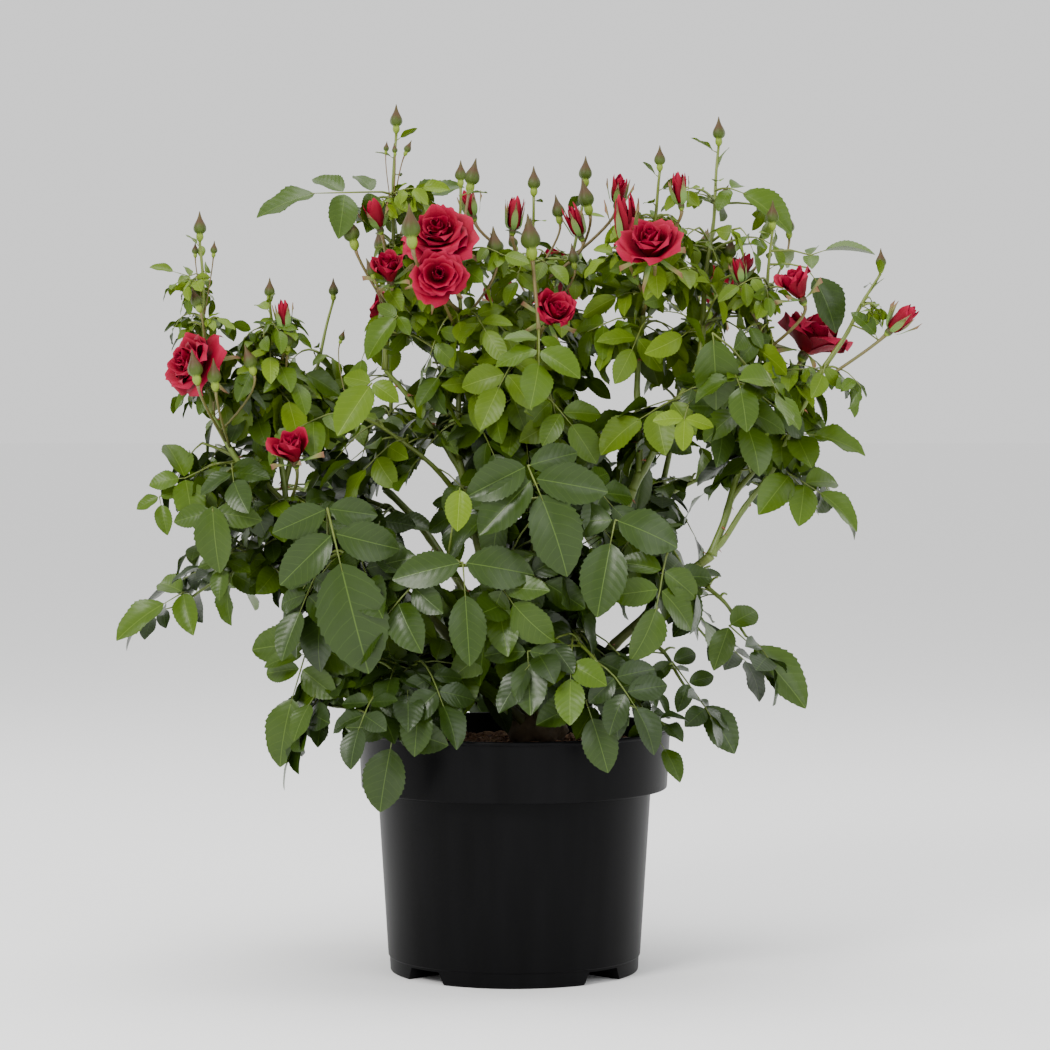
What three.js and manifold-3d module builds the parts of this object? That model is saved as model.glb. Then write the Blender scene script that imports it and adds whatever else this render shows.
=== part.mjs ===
// A potted shrub rose: a black nursery pot with its root ball, a knobbly rootstock, nine canes, the boughs
// that fork from them, and the masses of leaves, buds and blooms that the limbs carry.
// Millimetres, +Z up. The origin is the centre of the pot's flat underside, and -Y is the plant's front.
import * as THREE from "three";
import { mergeVertices } from "three/addons/utils/BufferGeometryUtils.js";
import Module from "manifold-3d";

const wasm = await Module();
wasm.setup();

// ---------------------------------------------------------------- driving dimensions

const GAP = 0.3; // clearance wherever one piece meets another

const POT = {
  footRadius: 104,
  bodyTopRadius: 113.6, // under the collar
  collarFootRadius: 127,
  collarTopRadius: 129.4,
  rimRadius: 132, // over the rolled lip
  height: 202,
  collar: 50, // height of the collar band
  lip: 3, // height of the rolled lip
  footBand: 13, // height of the foot band, which is set back a little from the body
  setBack: 0.8,
  wall: 2.2,
  floor: 3,
  sides: 36,
};

// Four drainage channels run in under the foot, between the four feet.
const CHANNEL = { count: 4, footWidth: 41, topWidth: 32, height: 10.5, depth: 36 };

const SOIL = { top: 188, crown: 4, sides: 24 };

const STOCK = { x: 18, y: 5, radius: 25, neck: 20, height: 30, seatRadius: 17, sides: 10 };

// Limbs. A cane's seat is its place round the rootstock, in degrees from +X. A bough comes from its parent
// limb, at a share of that limb's length. arch lifts the limb's middle, as a share of its length, and radius
// is at the root and at the tip.
const LIMBS = {
  cane_right: { seat: 332, tip: [162, -32, 346], arch: 0.05, radius: [4.8, 3.8] },
  cane_centre_right: { seat: 10, tip: [103, -18, 414], arch: 0.03, radius: [4.8, 3.8] },
  cane_back_right: { seat: 52, tip: [128, 120, 400], arch: 0.1, radius: [4.4, 3.2] },
  cane_centre: { seat: 90, tip: [12, 34, 440], arch: 0, radius: [4.6, 3.4] },
  cane_back_left: { seat: 128, tip: [-112, 128, 395], arch: 0.1, radius: [4.4, 3.2] },
  cane_centre_left: { seat: 165, tip: [-46, -8, 424], arch: 0.02, radius: [4.6, 3.6] },
  cane_left: { seat: 200, tip: [-201, -30, 384], arch: 0.1, radius: [4.8, 3.4] },
  cane_front_left: { seat: 236, tip: [-112, -78, 262], arch: 0.12, radius: [4.0, 2.6] },
  cane_front: { seat: 282, tip: [14, -92, 348], arch: 0.12, radius: [4.2, 3.0] },
  right_upper_bough: { from: ["cane_right", 1], tip: [196, -20, 440], arch: 0.02, radius: [3.4, 2.6] },
  right_outer_bough: { from: ["cane_right", 0.93], tip: [243, -44, 482], arch: -0.08, radius: [2.8, 2.1] },
  centre_right_bough: { from: ["cane_centre_right", 1], tip: [102, -8, 512], arch: 0, radius: [3.2, 2.5] },
  leaning_bough: { from: ["cane_centre_right", 0.92], tip: [152, -34, 506], arch: 0, radius: [3.2, 2.4] },
  arching_bough: { from: ["cane_centre_left", 0.95], tip: [-106, -26, 498], arch: 0.04, radius: [2.6, 2] },
  left_outer_bough: { from: ["cane_left", 1], tip: [-247, -44, 462], arch: -0.03, radius: [3.0, 2.3] },
  left_upper_bough: { from: ["cane_left", 0.93], tip: [-196, -14, 470], arch: -0.05, radius: [2.8, 2.2] },
};

// Masses of foliage. Each grows on one stem, from a share of its limb's length to tip. spread is how far its
// leaves reach from that stem, size the length of its end leaflets, and seed starts the dice that place its
// twigs. The stem of a flowering mass rises straight to a bud, and that of a leafy one arches to a leaf.
const FLOWERING = {
  left_spire: { from: ["left_outer_bough", 1], tip: [-256, -44, 602], spread: 70, size: 28, seed: 972 },
  left_bud_spray: { from: ["left_upper_bough", 1], tip: [-198, -58, 552], spread: 95, size: 42, seed: 657 },
  left_thin_spire: { from: ["left_upper_bough", 0.3], tip: [-152, 40, 556], spread: 85, size: 36, seed: 958 },
  top_left_spire: { from: ["arching_bough", 1], tip: [-97, -12, 692], spread: 100, size: 44, seed: 502 },
  crimson_cluster: { from: ["cane_centre_left", 1], tip: [-43, -66, 645], spread: 105, size: 44, seed: 452 },
  centre_top: { from: ["cane_centre", 1], tip: [16, -20, 640], spread: 110, size: 42, seed: 533 },
  centre_top_right: { from: ["cane_centre", 0.9], tip: [60, 54, 652], spread: 85, size: 42, seed: 253 },
  top_right: { from: ["centre_right_bough", 1], tip: [118, -58, 658], spread: 90, size: 42, seed: 827 },
  right_spire: { from: ["leaning_bough", 1], tip: [170, 20, 684], spread: 120, size: 42, seed: 908 },
  right_cluster: { from: ["right_upper_bough", 1], tip: [212, -24, 612], spread: 90, size: 42, seed: 983 },
  right_tip_spray: { from: ["right_outer_bough", 1], tip: [298, -50, 576], spread: 70, size: 30, seed: 903 },
  back_left_top: { from: ["cane_back_left", 1], tip: [-104, 150, 590], spread: 100, size: 46, seed: 546 },
  back_top: { from: ["cane_centre", 0.84], tip: [14, 172, 610], spread: 90, size: 42, seed: 568 },
  back_right_top: { from: ["cane_back_right", 1], tip: [166, 146, 596], spread: 110, size: 46, seed: 320 },
};
const LEAFY = {
  left_fan: { from: ["cane_left", 0.88], tip: [-257, -20, 438], spread: 110, size: 42, seed: 829 },
  left_low_fan: { from: ["cane_left", 0.7], tip: [-277, -12, 302], spread: 115, size: 40, seed: 75 },
  left_skirt: { from: ["cane_front_left", 1], tip: [-151, -84, 227], spread: 95, size: 46, seed: 501 },
  left_shoulder: { from: ["cane_left", 0.5], tip: [-148, -112, 347], spread: 120, size: 62, seed: 285 },
  left_inner: { from: ["cane_centre_left", 0.78], tip: [-133, -56, 462], spread: 90, size: 46, seed: 612 },
  left_foot: { from: ["cane_front_left", 0.55], tip: [-107, -132, 243], spread: 115, size: 48, seed: 691 },
  front_upper: { from: ["cane_centre", 0.78], tip: [20, -84, 530], spread: 120, size: 54, seed: 591 },
  front_middle: { from: ["cane_front", 1], tip: [44, -128, 419], spread: 110, size: 60, seed: 166 },
  front_low: { from: ["cane_front", 0.7], tip: [-61, -138, 338], spread: 115, size: 58, seed: 754 },
  front_foot: { from: ["cane_front", 0.42], tip: [66, -140, 266], spread: 105, size: 54, seed: 111 },
  right_fan: { from: ["right_upper_bough", 0.45], tip: [231, -28, 442], spread: 110, size: 42, seed: 367 },
  right_inner: { from: ["leaning_bough", 0.4], tip: [196, -92, 500], spread: 95, size: 52, seed: 607 },
  right_front: { from: ["cane_centre_right", 0.72], tip: [123, -116, 354], spread: 115, size: 58, seed: 307 },
  right_hanging: { from: ["cane_right", 0.86], tip: [189, -52, 281], spread: 85, size: 42, seed: 628 },
  right_low: { from: ["cane_right", 0.5], tip: [143, -54, 234], spread: 85, size: 36, seed: 856, twigs: 2 },
  right_foot: { from: ["cane_right", 0.25], tip: [104, -90, 224], spread: 75, size: 36, seed: 825 },
  back_left_fan: { from: ["cane_back_left", 0.75], tip: [-240, 124, 390], spread: 115, size: 56, seed: 852 },
  back_left_low: { from: ["cane_back_left", 0.42], tip: [-145, 142, 242], spread: 100, size: 54, seed: 118 },
  back_fan: { from: ["cane_centre", 0.6], tip: [-5, 204, 446], spread: 110, size: 58, seed: 512 },
  back_low: { from: ["cane_back_right", 0.38], tip: [-14, 176, 232], spread: 115, size: 56, seed: 264 },
  back_right_fan: { from: ["cane_back_right", 0.78], tip: [246, 112, 420], spread: 110, size: 48, seed: 425 },
  back_right_low: { from: ["cane_back_right", 0.5], tip: [166, 132, 267], spread: 105, size: 48, seed: 889 },
};
const HABIT = {
  flowering: { buds: 3, twigs: 3, arch: 0, top: 0.88 },
  leafy: { buds: 0, twigs: 3, arch: 0.1, top: 0.92 },
};
const TILT = { small: 38, large: 60, smallSize: 30, largeSize: 60 }; // how steeply leaves hang, by their size

// Blooms that show from a step away: the mass that each grows in, the place of its calyx, its radius, how
// far it has opened (0 a coloured bud, 1 full), and the bearing and height that it faces, in degrees.
const BLOOMS = [
  { mass: "left_spire", at: [-246, -58, 496], radius: 32, open: 1, bearing: 165, height: 25 },
  { mass: "left_bud_spray", at: [-176, -86, 424], radius: 19, open: 0.5, bearing: 250, height: 60 },
  { mass: "crimson_cluster", at: [-59, -78, 600], radius: 33, open: 1, bearing: 262, height: 40 },
  { mass: "crimson_cluster", at: [-61, -102, 570], radius: 26, open: 1, bearing: 275, height: 15 },
  { mass: "top_left_spire", at: [-100, -56, 570], radius: 18, open: 0.5, bearing: 255, height: 55 },
  { mass: "top_left_spire", at: [-110, -34, 614], radius: 13, open: 0.2, bearing: 200, height: 70 },
  { mass: "centre_top", at: [28, -54, 538], radius: 22, open: 0.7, bearing: 300, height: 35 },
  { mass: "centre_top", at: [-34, 0, 626], radius: 11, open: 0.1, bearing: 170, height: 75 },
  { mass: "centre_top_right", at: [86, 40, 638], radius: 12, open: 0.1, bearing: 300, height: 75 },
  { mass: "top_right", at: [112, -84, 588], radius: 29, open: 0.8, bearing: 255, height: 50 },
  { mass: "right_spire", at: [186, 4, 574], radius: 11, open: 0.1, bearing: 0, height: 65 },
  { mass: "right_cluster", at: [234, -50, 556], radius: 19, open: 0.5, bearing: 200, height: 65 },
  { mass: "right_cluster", at: [241, 8, 519], radius: 35, open: 1, bearing: 40, height: 30 },
  { mass: "right_tip_spray", at: [309, -62, 530], radius: 15, open: 0.2, bearing: 350, height: 45 },
  { mass: "back_left_top", at: [-112, 186, 556], radius: 28, open: 1, bearing: 120, height: 35 },
  { mass: "back_top", at: [36, 204, 580], radius: 29, open: 1, bearing: 80, height: 35 },
  { mass: "back_top", at: [-10, 196, 552], radius: 19, open: 0.5, bearing: 110, height: 60 },
  { mass: "back_right_top", at: [176, 178, 560], radius: 27, open: 0.8, bearing: 60, height: 40 },
];

// ---------------------------------------------------------------- the growth rule

const GOLDEN = { along: 0.7548776662, round: 0.5698402910 }; // steps that spread twigs evenly on a stem
const WOOD = {
  limbSides: 5,
  limbSteps: 5,
  sides: 3, // of stems, twigs and pedicels
  stemSteps: 4,
  stem: [2.6, 1.5], // radius at the root and at the tip, and so for the twig and the pedicel
  twig: [1.1, 0.9],
  pedicel: [0.9, 0.9],
  shortestTwig: 14,
};
const MASSES = {};
for (const [name, mass] of Object.entries(FLOWERING)) MASSES[name] = { ...HABIT.flowering, ...mass };
for (const [name, mass] of Object.entries(LEAFY)) MASSES[name] = { ...HABIT.leafy, ...mass };

const LEAF = {
  stalk: 0.5, // length of the stalk, all lengths here as shares of the end leaflet's
  shank: 0.4, // from the pair to the end leaflet's foot
  pair: 0.9, // length of each of the pair
  pairTurn: 76, // degrees between the pair and the end leaflet
  width: 0.64,
  widest: 0.45,
  fold: 0.06, // rise of the edges over the midrib
  bend: 0.1, // fall of the tip
  thick: 2.4, // millimetres, at the hub that the three leaflets share
  sink: 0.3, // millimetres that the stalk runs on past the wood's centre
};
const TWIG_LEAVES = [[1, 0], [0.65, 66], [0, -132], [0.3, -66]]; // each leaf's share of its twig, its turn
const LEAF_TRIES = [1, 0.78]; // a leaf that has no room is tried once more at the second size
const STRAY = 1.1; // how far past its mass's spread a leaf may reach, as a share
const BUD = { radius: 5.8, length: 26, tip: 0.6, pedicel: 42 };
const BLOOM = { petals: 5, notch: 0.78, pedicelFrom: 0.55, calyx: 2 }; // pedicelFrom is a share of the stem

const UP = new THREE.Vector3(0, 0, 1);
const radians = THREE.MathUtils.degToRad;
const lerp = THREE.MathUtils.lerp;
const fraction = (value) => value - Math.floor(value);
const vector = (list) => new THREE.Vector3(...list);

/** The unit vector on a bearing from +X and at a height above the level, both in radians. */
function heading(bearing, height) {
  return new THREE.Vector3(
    Math.cos(bearing) * Math.cos(height),
    Math.sin(bearing) * Math.cos(height),
    Math.sin(height),
  );
}

/** A repeatable source of random numbers: a 32-bit linear congruential generator. */
class Dice {
  constructor(seed) {
    this.state = Math.imul(seed, 2654435761) >>> 0;
    this.between(0, 1);
  }
  between(low, high) {
    this.state = (Math.imul(this.state, 1664525) + 1013904223) >>> 0;
    return low + (high - low) * (this.state / 4294967296);
  }
}

/** A limb's or stem's centreline: one bend from root to tip, its middle lifted by arch times its length. */
function centreline(root, tip, arch) {
  const middle = root.clone().lerp(tip, 0.5).addScaledVector(UP, 2 * arch * root.distanceTo(tip));
  return new THREE.QuadraticBezierCurve3(root, middle, tip);
}

/** A leaf's place: its root, the way it points, and the way it faces, which leans out by the mass's tilt. */
function leafSite(at, bearing, outward, mass, share, dice) {
  const grown = (mass.size - TILT.smallSize) / (TILT.largeSize - TILT.smallSize);
  const tilt = radians(lerp(TILT.small, TILT.large, grown) + dice.between(-15, 15));
  const lean = heading(bearing, 0).multiplyScalar(0.65).addScaledVector(heading(outward, 0), 0.35);
  const face = UP.clone().multiplyScalar(Math.cos(tilt)).addScaledVector(lean, Math.sin(tilt));
  face.addScaledVector(heading(dice.between(0, 2 * Math.PI), 0), dice.between(0, 0.45)).normalize();
  const way = heading(bearing, 0);
  way.addScaledVector(face, -way.dot(face)).normalize();
  const size = mass.size * dice.between(0.85, 1.15) * (mass.buds ? 1.15 - 0.5 * share : 1);
  return { at, way, face, size };
}

/** The twigs of a mass, each with the leaves it bears: at its tip, on its sides and at its foot. */
function twigSites(mass, stem) {
  const dice = new Dice(mass.seed);
  const fromAxis = new THREE.Vector2(mass.tip[0] - STOCK.x, mass.tip[1] - STOCK.y);
  const outward = fromAxis.angle();
  const fan = Math.PI * (1 - 0.35 * Math.min(1, fromAxis.length() / 200));
  const twigs = [];
  if (!mass.buds) {
    const end = stem.getTangent(1);
    twigs.push({ leaves: [leafSite(stem.getPoint(1), Math.atan2(end.y, end.x), outward, mass, 0, dice)] });
  }
  for (let i = 0; i < mass.twigs; i++) {
    const share = fraction(0.5 + GOLDEN.along * i);
    const bearing = outward + fan * (2 * fraction(0.5 + GOLDEN.round * i) - 1);
    const root = stem.getPoint(lerp(0.12, mass.top, share));
    const length = Math.max(WOOD.shortestTwig, mass.spread - 1.9 * mass.size) * dice.between(0.7, 1.1);
    const tip = root.clone().addScaledVector(heading(bearing, radians(dice.between(0, 40))), length);
    const side = i % 2 ? 1 : -1;
    const leaves = TWIG_LEAVES.map(([along, turn]) => {
      const away = bearing + radians(turn) * side + dice.between(-0.35, 0.35);
      return leafSite(root.clone().lerp(tip, along), away, outward, mass, share, dice);
    });
    twigs.push({ root, tip, leaves });
  }
  return twigs;
}

/** The buds of a mass: one at the tip of the stem, the others on pedicels round it. */
function budSites(mass, stem) {
  const dice = new Dice(mass.seed + 500);
  const sites = [];
  for (let i = 0; i < mass.buds; i++) {
    const size = dice.between(0.75, 1.05);
    const root = stem.getPoint(i ? lerp(0.7, 0.9, fraction(0.5 + GOLDEN.along * i)) : 1);
    const way = i ? heading(2.4 * i + dice.between(0, 1), radians(dice.between(58, 75))) : UP.clone();
    const at = root.clone().addScaledVector(way, i ? BUD.pedicel * dice.between(0.7, 1.1) : 0);
    sites.push({ root, at, way, size });
  }
  return sites;
}

// ---------------------------------------------------------------- solids

/** A closed three.js geometry as a manifold-3d solid. */
function solidOf(geometry) {
  const bare = geometry.index ? geometry.toNonIndexed() : geometry.clone();
  bare.deleteAttribute("normal");
  bare.deleteAttribute("uv");
  const merged = mergeVertices(bare, 1e-4);
  return new wasm.Manifold(
    new wasm.Mesh({
      numProp: 3,
      vertProperties: new Float32Array(merged.attributes.position.array),
      triVerts: new Uint32Array(merged.index.array),
    }),
  );
}

/** A manifold-3d solid as a three.js geometry. */
function geometryOf(solid) {
  const { vertProperties, triVerts } = solid.getMesh();
  const geometry = new THREE.BufferGeometry();
  geometry.setAttribute("position", new THREE.BufferAttribute(vertProperties, 3));
  geometry.setIndex(new THREE.BufferAttribute(triVerts, 1));
  geometry.computeVertexNormals();
  return geometry;
}

/** A closed mesh from its corners and its triangles. */
function closedMesh(corners, triangles) {
  const geometry = new THREE.BufferGeometry().setFromPoints(corners);
  geometry.setIndex(triangles);
  return geometry;
}

/** A tapering rod of flat sides along points, with flat ends. */
function rod(points, radii, sides) {
  const corners = [];
  const triangles = [];
  const ends = points.length - 1;
  const along = points.map((p, i) =>
    points[Math.min(i + 1, ends)].clone().sub(points[Math.max(i - 1, 0)]).normalize(),
  );
  let across = new THREE.Vector3(0.31, 0.95, 0.11).cross(along[0]).normalize();
  points.forEach((point, i) => {
    across = across.clone().addScaledVector(along[i], -across.dot(along[i])).normalize();
    const other = along[i].clone().cross(across);
    for (let s = 0; s < sides; s++) {
      const turn = (2 * Math.PI * s) / sides;
      corners.push(
        point
          .clone()
          .addScaledVector(across, radii[i] * Math.cos(turn))
          .addScaledVector(other, radii[i] * Math.sin(turn)),
      );
    }
  });
  for (let i = 0; i < ends; i++) {
    for (let s = 0; s < sides; s++) {
      const [a, b] = [i * sides + s, i * sides + ((s + 1) % sides)];
      triangles.push(a, b, b + sides, a, b + sides, a + sides);
    }
  }
  for (let s = 1; s < sides - 1; s++) {
    triangles.push(0, s + 1, s, ends * sides, ends * sides + s, ends * sides + s + 1);
  }
  return solidOf(closedMesh(corners, triangles));
}

/** A limb as a rod along its centreline, grown all round and at its ends by extra. */
function limbRod(curve, [rootRadius, tipRadius], extra = 0) {
  const points = curve.getPoints(WOOD.limbSteps);
  const last = points.length - 1;
  points[0].addScaledVector(curve.getTangent(0), -extra);
  points[last].addScaledVector(curve.getTangent(1), extra);
  const radii = points.map((_, i) => lerp(rootRadius, tipRadius, i / last) + extra);
  return rod(points, radii, WOOD.limbSides);
}

/** A thin closed plate round a hub, thickest there. Each point of its rim is [forward, across, lift, half
 * thickness]; the points go once round the hub, seen from the side that the plate faces. */
function plate(hub, way, face, rim, thick) {
  const across = face.clone().cross(way);
  const place = ([forward, side, lift, half = 0], hand) =>
    hub
      .clone()
      .addScaledVector(way, forward)
      .addScaledVector(across, side)
      .addScaledVector(face, lift + hand * half);
  const count = rim.length;
  const corners = [...rim.map((p) => place(p, 1)), ...rim.map((p) => place(p, -1))];
  corners.push(place([0, 0, thick / 2], 1), place([0, 0, -thick / 2], 1));
  const triangles = [];
  for (let k = 0; k < count; k++) {
    const next = (k + 1) % count;
    triangles.push(2 * count, k, next, 2 * count + 1, count + next, count + k);
    if (rim[k][3]) triangles.push(k, count + k, count + next);
    if (rim[next][3]) triangles.push(k, count + next, next);
  }
  return solidOf(closedMesh(corners, triangles));
}

/** A leaf as one plate: an end leaflet, a pair beside it and the stalk, which sinks into the wood. */
function leaf({ at, way, face, size }, extra = 0) {
  const rise = way.clone().addScaledVector(UP, 0.35).normalize();
  const hub = at.clone().addScaledVector(rise, LEAF.stalk * size);
  const back = hub.clone().sub(at).addScaledVector(rise, LEAF.sink + extra);
  const across = face.clone().cross(way);
  const stalk = [-back.dot(way), -back.dot(across), -back.dot(face)];
  const notch = (turn, reach) => [
    (reach * size + extra) * Math.cos(radians(turn)),
    (reach * size + extra) * Math.sin(radians(turn)),
    0,
  ];
  const lobe = (turn, foot, length) => {
    const [middle, half] = [foot + LEAF.widest * length, (LEAF.width * length) / 2];
    const shape = [
      [middle * size, -half * size - extra, LEAF.fold * length * size],
      [(foot + length) * size + extra, 0, -LEAF.bend * length * size],
      [middle * size, half * size + extra, LEAF.fold * length * size],
    ];
    const [cos, sin] = [Math.cos(radians(turn)), Math.sin(radians(turn))];
    return shape.map(([x, y, lift]) => [x * cos - y * sin, x * sin + y * cos, lift]);
  };
  const { pairTurn, pair, shank } = LEAF;
  const rim = [
    stalk,
    notch(-115, 0.07),
    ...lobe(-pairTurn, 0.08, pair),
    notch(-36, 0.09),
    notch(-9, shank),
    ...lobe(0, shank, 1),
    notch(9, shank),
    notch(36, 0.09),
    ...lobe(pairTurn, 0.08, pair),
    notch(115, 0.07),
  ];
  const end = hub.clone().addScaledVector(way, (shank + 1) * size);
  return { solid: plate(hub, way, face, rim, LEAF.thick + 2 * extra), end };
}

/** The points and radii that end a pedicel in a bud: a plump hip and belly, then a drawn-out tip. */
function budEnd({ at, way, size }, extra = 0) {
  const points = [0.4, 1].map((share) => at.clone().addScaledVector(way, share * BUD.length * size));
  return { points, radii: [BUD.radius * size + extra, BUD.tip + extra] };
}

/** A side bud on its pedicel. */
function bud(site, extra = 0) {
  const { points, radii } = budEnd(site, extra);
  const pedicel = WOOD.pedicel.map((radius) => radius + extra);
  return rod([site.root, site.at, ...points], [...pedicel, ...radii], WOOD.sides);
}

/** A bloom: five petals, each a corner of the rim, that cup a raised heart and spread as it opens. */
function bloom({ at, radius, open, bearing, height }, extra = 0) {
  const way = heading(radians(bearing), radians(height));
  const count = 2 * BLOOM.petals;
  const rings = [
    { reach: lerp(0.5, 0.66, open), rise: lerp(0.5, 0.16, open) },
    { reach: lerp(0.62, 1.05, open), rise: lerp(1.7, 0.55, open) },
  ];
  const corners = [];
  for (const { reach, rise } of rings) {
    for (let k = 0; k < count; k++) {
      const petal = k % 2 ? BLOOM.notch : 1;
      const side = heading((2 * Math.PI * k) / count, 0).multiplyScalar(reach * petal * radius + extra);
      corners.push(side.setZ(rise * radius * (k % 2 ? 0.9 : 1)));
    }
  }
  const [foot, heart] = [corners.length, corners.length + 1];
  corners.push(new THREE.Vector3(0, 0, -BLOOM.calyx - extra));
  corners.push(new THREE.Vector3(0, 0, lerp(2.2, 0.95, open) * radius + extra));
  const triangles = [];
  for (let k = 0; k < count; k++) {
    const next = (k + 1) % count;
    triangles.push(foot, next, k, k, next, count + next);
    triangles.push(k, count + next, count + k, count + k, count + next, heart);
  }
  const turn = new THREE.Quaternion().setFromUnitVectors(UP, way);
  return solidOf(closedMesh(corners, triangles).applyQuaternion(turn).translate(...at));
}

/** The union of pieces, as the one largest body, so that a loose scrap is dropped. */
function fused(pieces) {
  const bodies = wasm.Manifold.union(pieces).decompose();
  return bodies.reduce((largest, body) => (body.volume() > largest.volume() ? body : largest));
}

// ---------------------------------------------------------------- pot and root ball

/** An outline of [radius, height] pairs turned about the pot's axis. */
function lathe(outline, sides) {
  const points = outline.map(([x, y]) => new THREE.Vector2(x, y));
  return solidOf(new THREE.LatheGeometry(points, sides).rotateX(Math.PI / 2));
}

/** One drainage channel under the foot, as the wedge that it removes, grown by extra. */
function channel(index, extra) {
  const [foot, top] = [CHANNEL.footWidth / 2 + extra, CHANNEL.topWidth / 2 + extra];
  const height = CHANNEL.height + extra;
  const outline = new THREE.Shape([
    new THREE.Vector2(-foot, -5),
    new THREE.Vector2(foot, -5),
    new THREE.Vector2(top, height),
    new THREE.Vector2(-top, height),
  ]);
  const length = CHANNEL.depth + 20;
  const wedge = new THREE.ExtrudeGeometry(outline, { depth: length, bevelEnabled: false })
    .rotateX(Math.PI / 2)
    .translate(0, -POT.footRadius + CHANNEL.depth + extra, 0)
    .rotateZ(Math.PI / 4 + (index * 2 * Math.PI) / CHANNEL.count);
  return solidOf(wedge);
}

/** The wedges of all the drainage channels, grown by extra. */
function channels(extra) {
  return wasm.Manifold.union(Array.from({ length: CHANNEL.count }, (_, index) => channel(index, extra)));
}

const bodyFoot = POT.height - POT.collar;
const outerWall = [
  [0, 0],
  [POT.footRadius - POT.setBack, 0],
  [POT.footRadius - POT.setBack + 0.6, POT.footBand - 0.8],
  [POT.footRadius + 0.9, POT.footBand],
  [POT.bodyTopRadius, bodyFoot],
  [POT.collarFootRadius, bodyFoot],
  [POT.collarTopRadius, POT.height - POT.lip],
  [POT.rimRadius, POT.height - POT.lip],
  [POT.rimRadius, POT.height],
];
const innerWall = [
  [POT.collarTopRadius - POT.wall, POT.height],
  [POT.collarFootRadius - POT.wall, bodyFoot + POT.wall],
  [POT.bodyTopRadius - POT.wall, bodyFoot + POT.wall],
  [POT.footRadius - POT.wall - POT.setBack, POT.floor],
  [0, POT.floor],
];

/** The pot: a thin-walled cup with drainage channels pressed into its foot. */
function pot() {
  const envelope = lathe([...outerWall, [0, POT.height]], POT.sides);
  const cup = lathe([...outerWall, ...innerWall], POT.sides);
  return cup.add(channels(POT.wall).intersect(envelope)).subtract(channels(0));
}

/** The root ball: compost that fills the pot to just under its collar's top and domes towards the stock. */
function soil() {
  const inset = (radius) => radius - POT.wall - GAP;
  const rise = (SOIL.top - bodyFoot) / POT.collar;
  const edge = inset(lerp(POT.collarFootRadius, POT.collarTopRadius, rise));
  const outline = [
    [0, POT.floor + GAP],
    [inset(POT.footRadius - POT.setBack) - 0.5, POT.floor + GAP],
    [inset(POT.bodyTopRadius) - 0.5, bodyFoot + POT.wall + GAP],
    [inset(POT.collarFootRadius) - 0.5, bodyFoot + POT.wall + GAP],
    [edge - 0.5, SOIL.top - SOIL.crown],
    [STOCK.radius * 2.2, SOIL.top],
    [0, SOIL.top],
  ];
  return lathe(outline, SOIL.sides).subtract(channels(POT.wall + GAP));
}

// ---------------------------------------------------------------- rootstock and limbs

/** The rootstock's knob, which narrows over its shoulder, grown by extra. */
function rootstock(extra = 0) {
  const outline = [
    [0, -extra],
    [STOCK.neck + extra, -extra],
    [STOCK.radius + extra, 0.35 * STOCK.height],
    [0.94 * STOCK.radius + extra, 0.75 * STOCK.height],
    [0.62 * STOCK.radius + extra, STOCK.height + extra],
    [0, STOCK.height + extra],
  ];
  return lathe(outline, STOCK.sides).translate([STOCK.x, STOCK.y, SOIL.top + GAP]);
}

const curves = {};
for (const [name, { seat, from, tip, arch }] of Object.entries(LIMBS)) {
  const knob = new THREE.Vector3(STOCK.x, STOCK.y, SOIL.top + GAP + 0.6 * STOCK.height);
  const root = from
    ? curves[from[0]].getPoint(from[1])
    : knob.addScaledVector(heading(radians(seat), 0), STOCK.seatRadius);
  curves[name] = centreline(root, vector(tip), arch);
}

const solids = { pot: pot(), root_ball: soil(), rootstock: rootstock() };
const grownWood = [rootstock(GAP)];
for (const [name, { radius }] of Object.entries(LIMBS)) {
  let solid = limbRod(curves[name], radius);
  for (const grown of grownWood) solid = solid.subtract(grown);
  solids[name] = fused([solid]);
  grownWood.push(limbRod(curves[name], radius, GAP));
}

// ---------------------------------------------------------------- masses

/** Every piece that stands so far: its node, whether it is wood, its solid and its bounding box. */
const standing = [];
const raise = (node, wood, solid) => standing.push({ node, wood, solid, box: solid.boundingBox() });
for (const [name, solid] of Object.entries(solids)) raise(name, true, solid);

/** Whether a grown piece keeps clear of the other nodes and, if apart is set, of its own mass's leaves. */
function clear(node, grown, apart = false) {
  const box = grown.boundingBox();
  return !standing.some((other) => {
    if (other.node === node && (other.wood || !apart)) return false;
    const near = other.box.min.every((low, k) => low < box.max[k] && other.box.max[k] > box.min[k]);
    return near && grown.intersect(other.solid).volume() > 1e-4;
  });
}

const growths = Object.entries(MASSES).map(([name, mass]) => {
  const [limb, share] = mass.from;
  const stem = centreline(curves[limb].getPoint(share), vector(mass.tip), mass.arch);
  const points = stem.getPoints(WOOD.stemSteps);
  const radii = points.map((_, i) => lerp(...WOOD.stem, i / WOOD.stemSteps));
  const [endBud, ...buds] = budSites(mass, stem);
  if (endBud) {
    const end = budEnd(endBud);
    points.push(...end.points);
    radii.push(...end.radii);
  }
  let wood = rod(points, radii, WOOD.sides);
  for (const grown of grownWood) wood = wood.subtract(grown);
  wood = fused([wood]);
  raise(name, true, wood);
  return { name, mass, stem, buds, pieces: [wood], twigs: twigSites(mass, stem) };
});

for (const { name, stem, buds, pieces } of growths) {
  for (const flower of BLOOMS.filter((item) => item.mass === name)) {
    const line = [stem.getPoint(BLOOM.pedicelFrom), vector(flower.at)];
    for (const part of [rod(line, WOOD.pedicel, WOOD.sides), bloom(flower)]) {
      raise(name, false, part);
      pieces.push(part);
    }
  }
  for (const site of buds) {
    if (!clear(name, bud(site, GAP))) continue;
    raise(name, false, bud(site));
    pieces.push(bud(site));
  }
}

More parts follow.
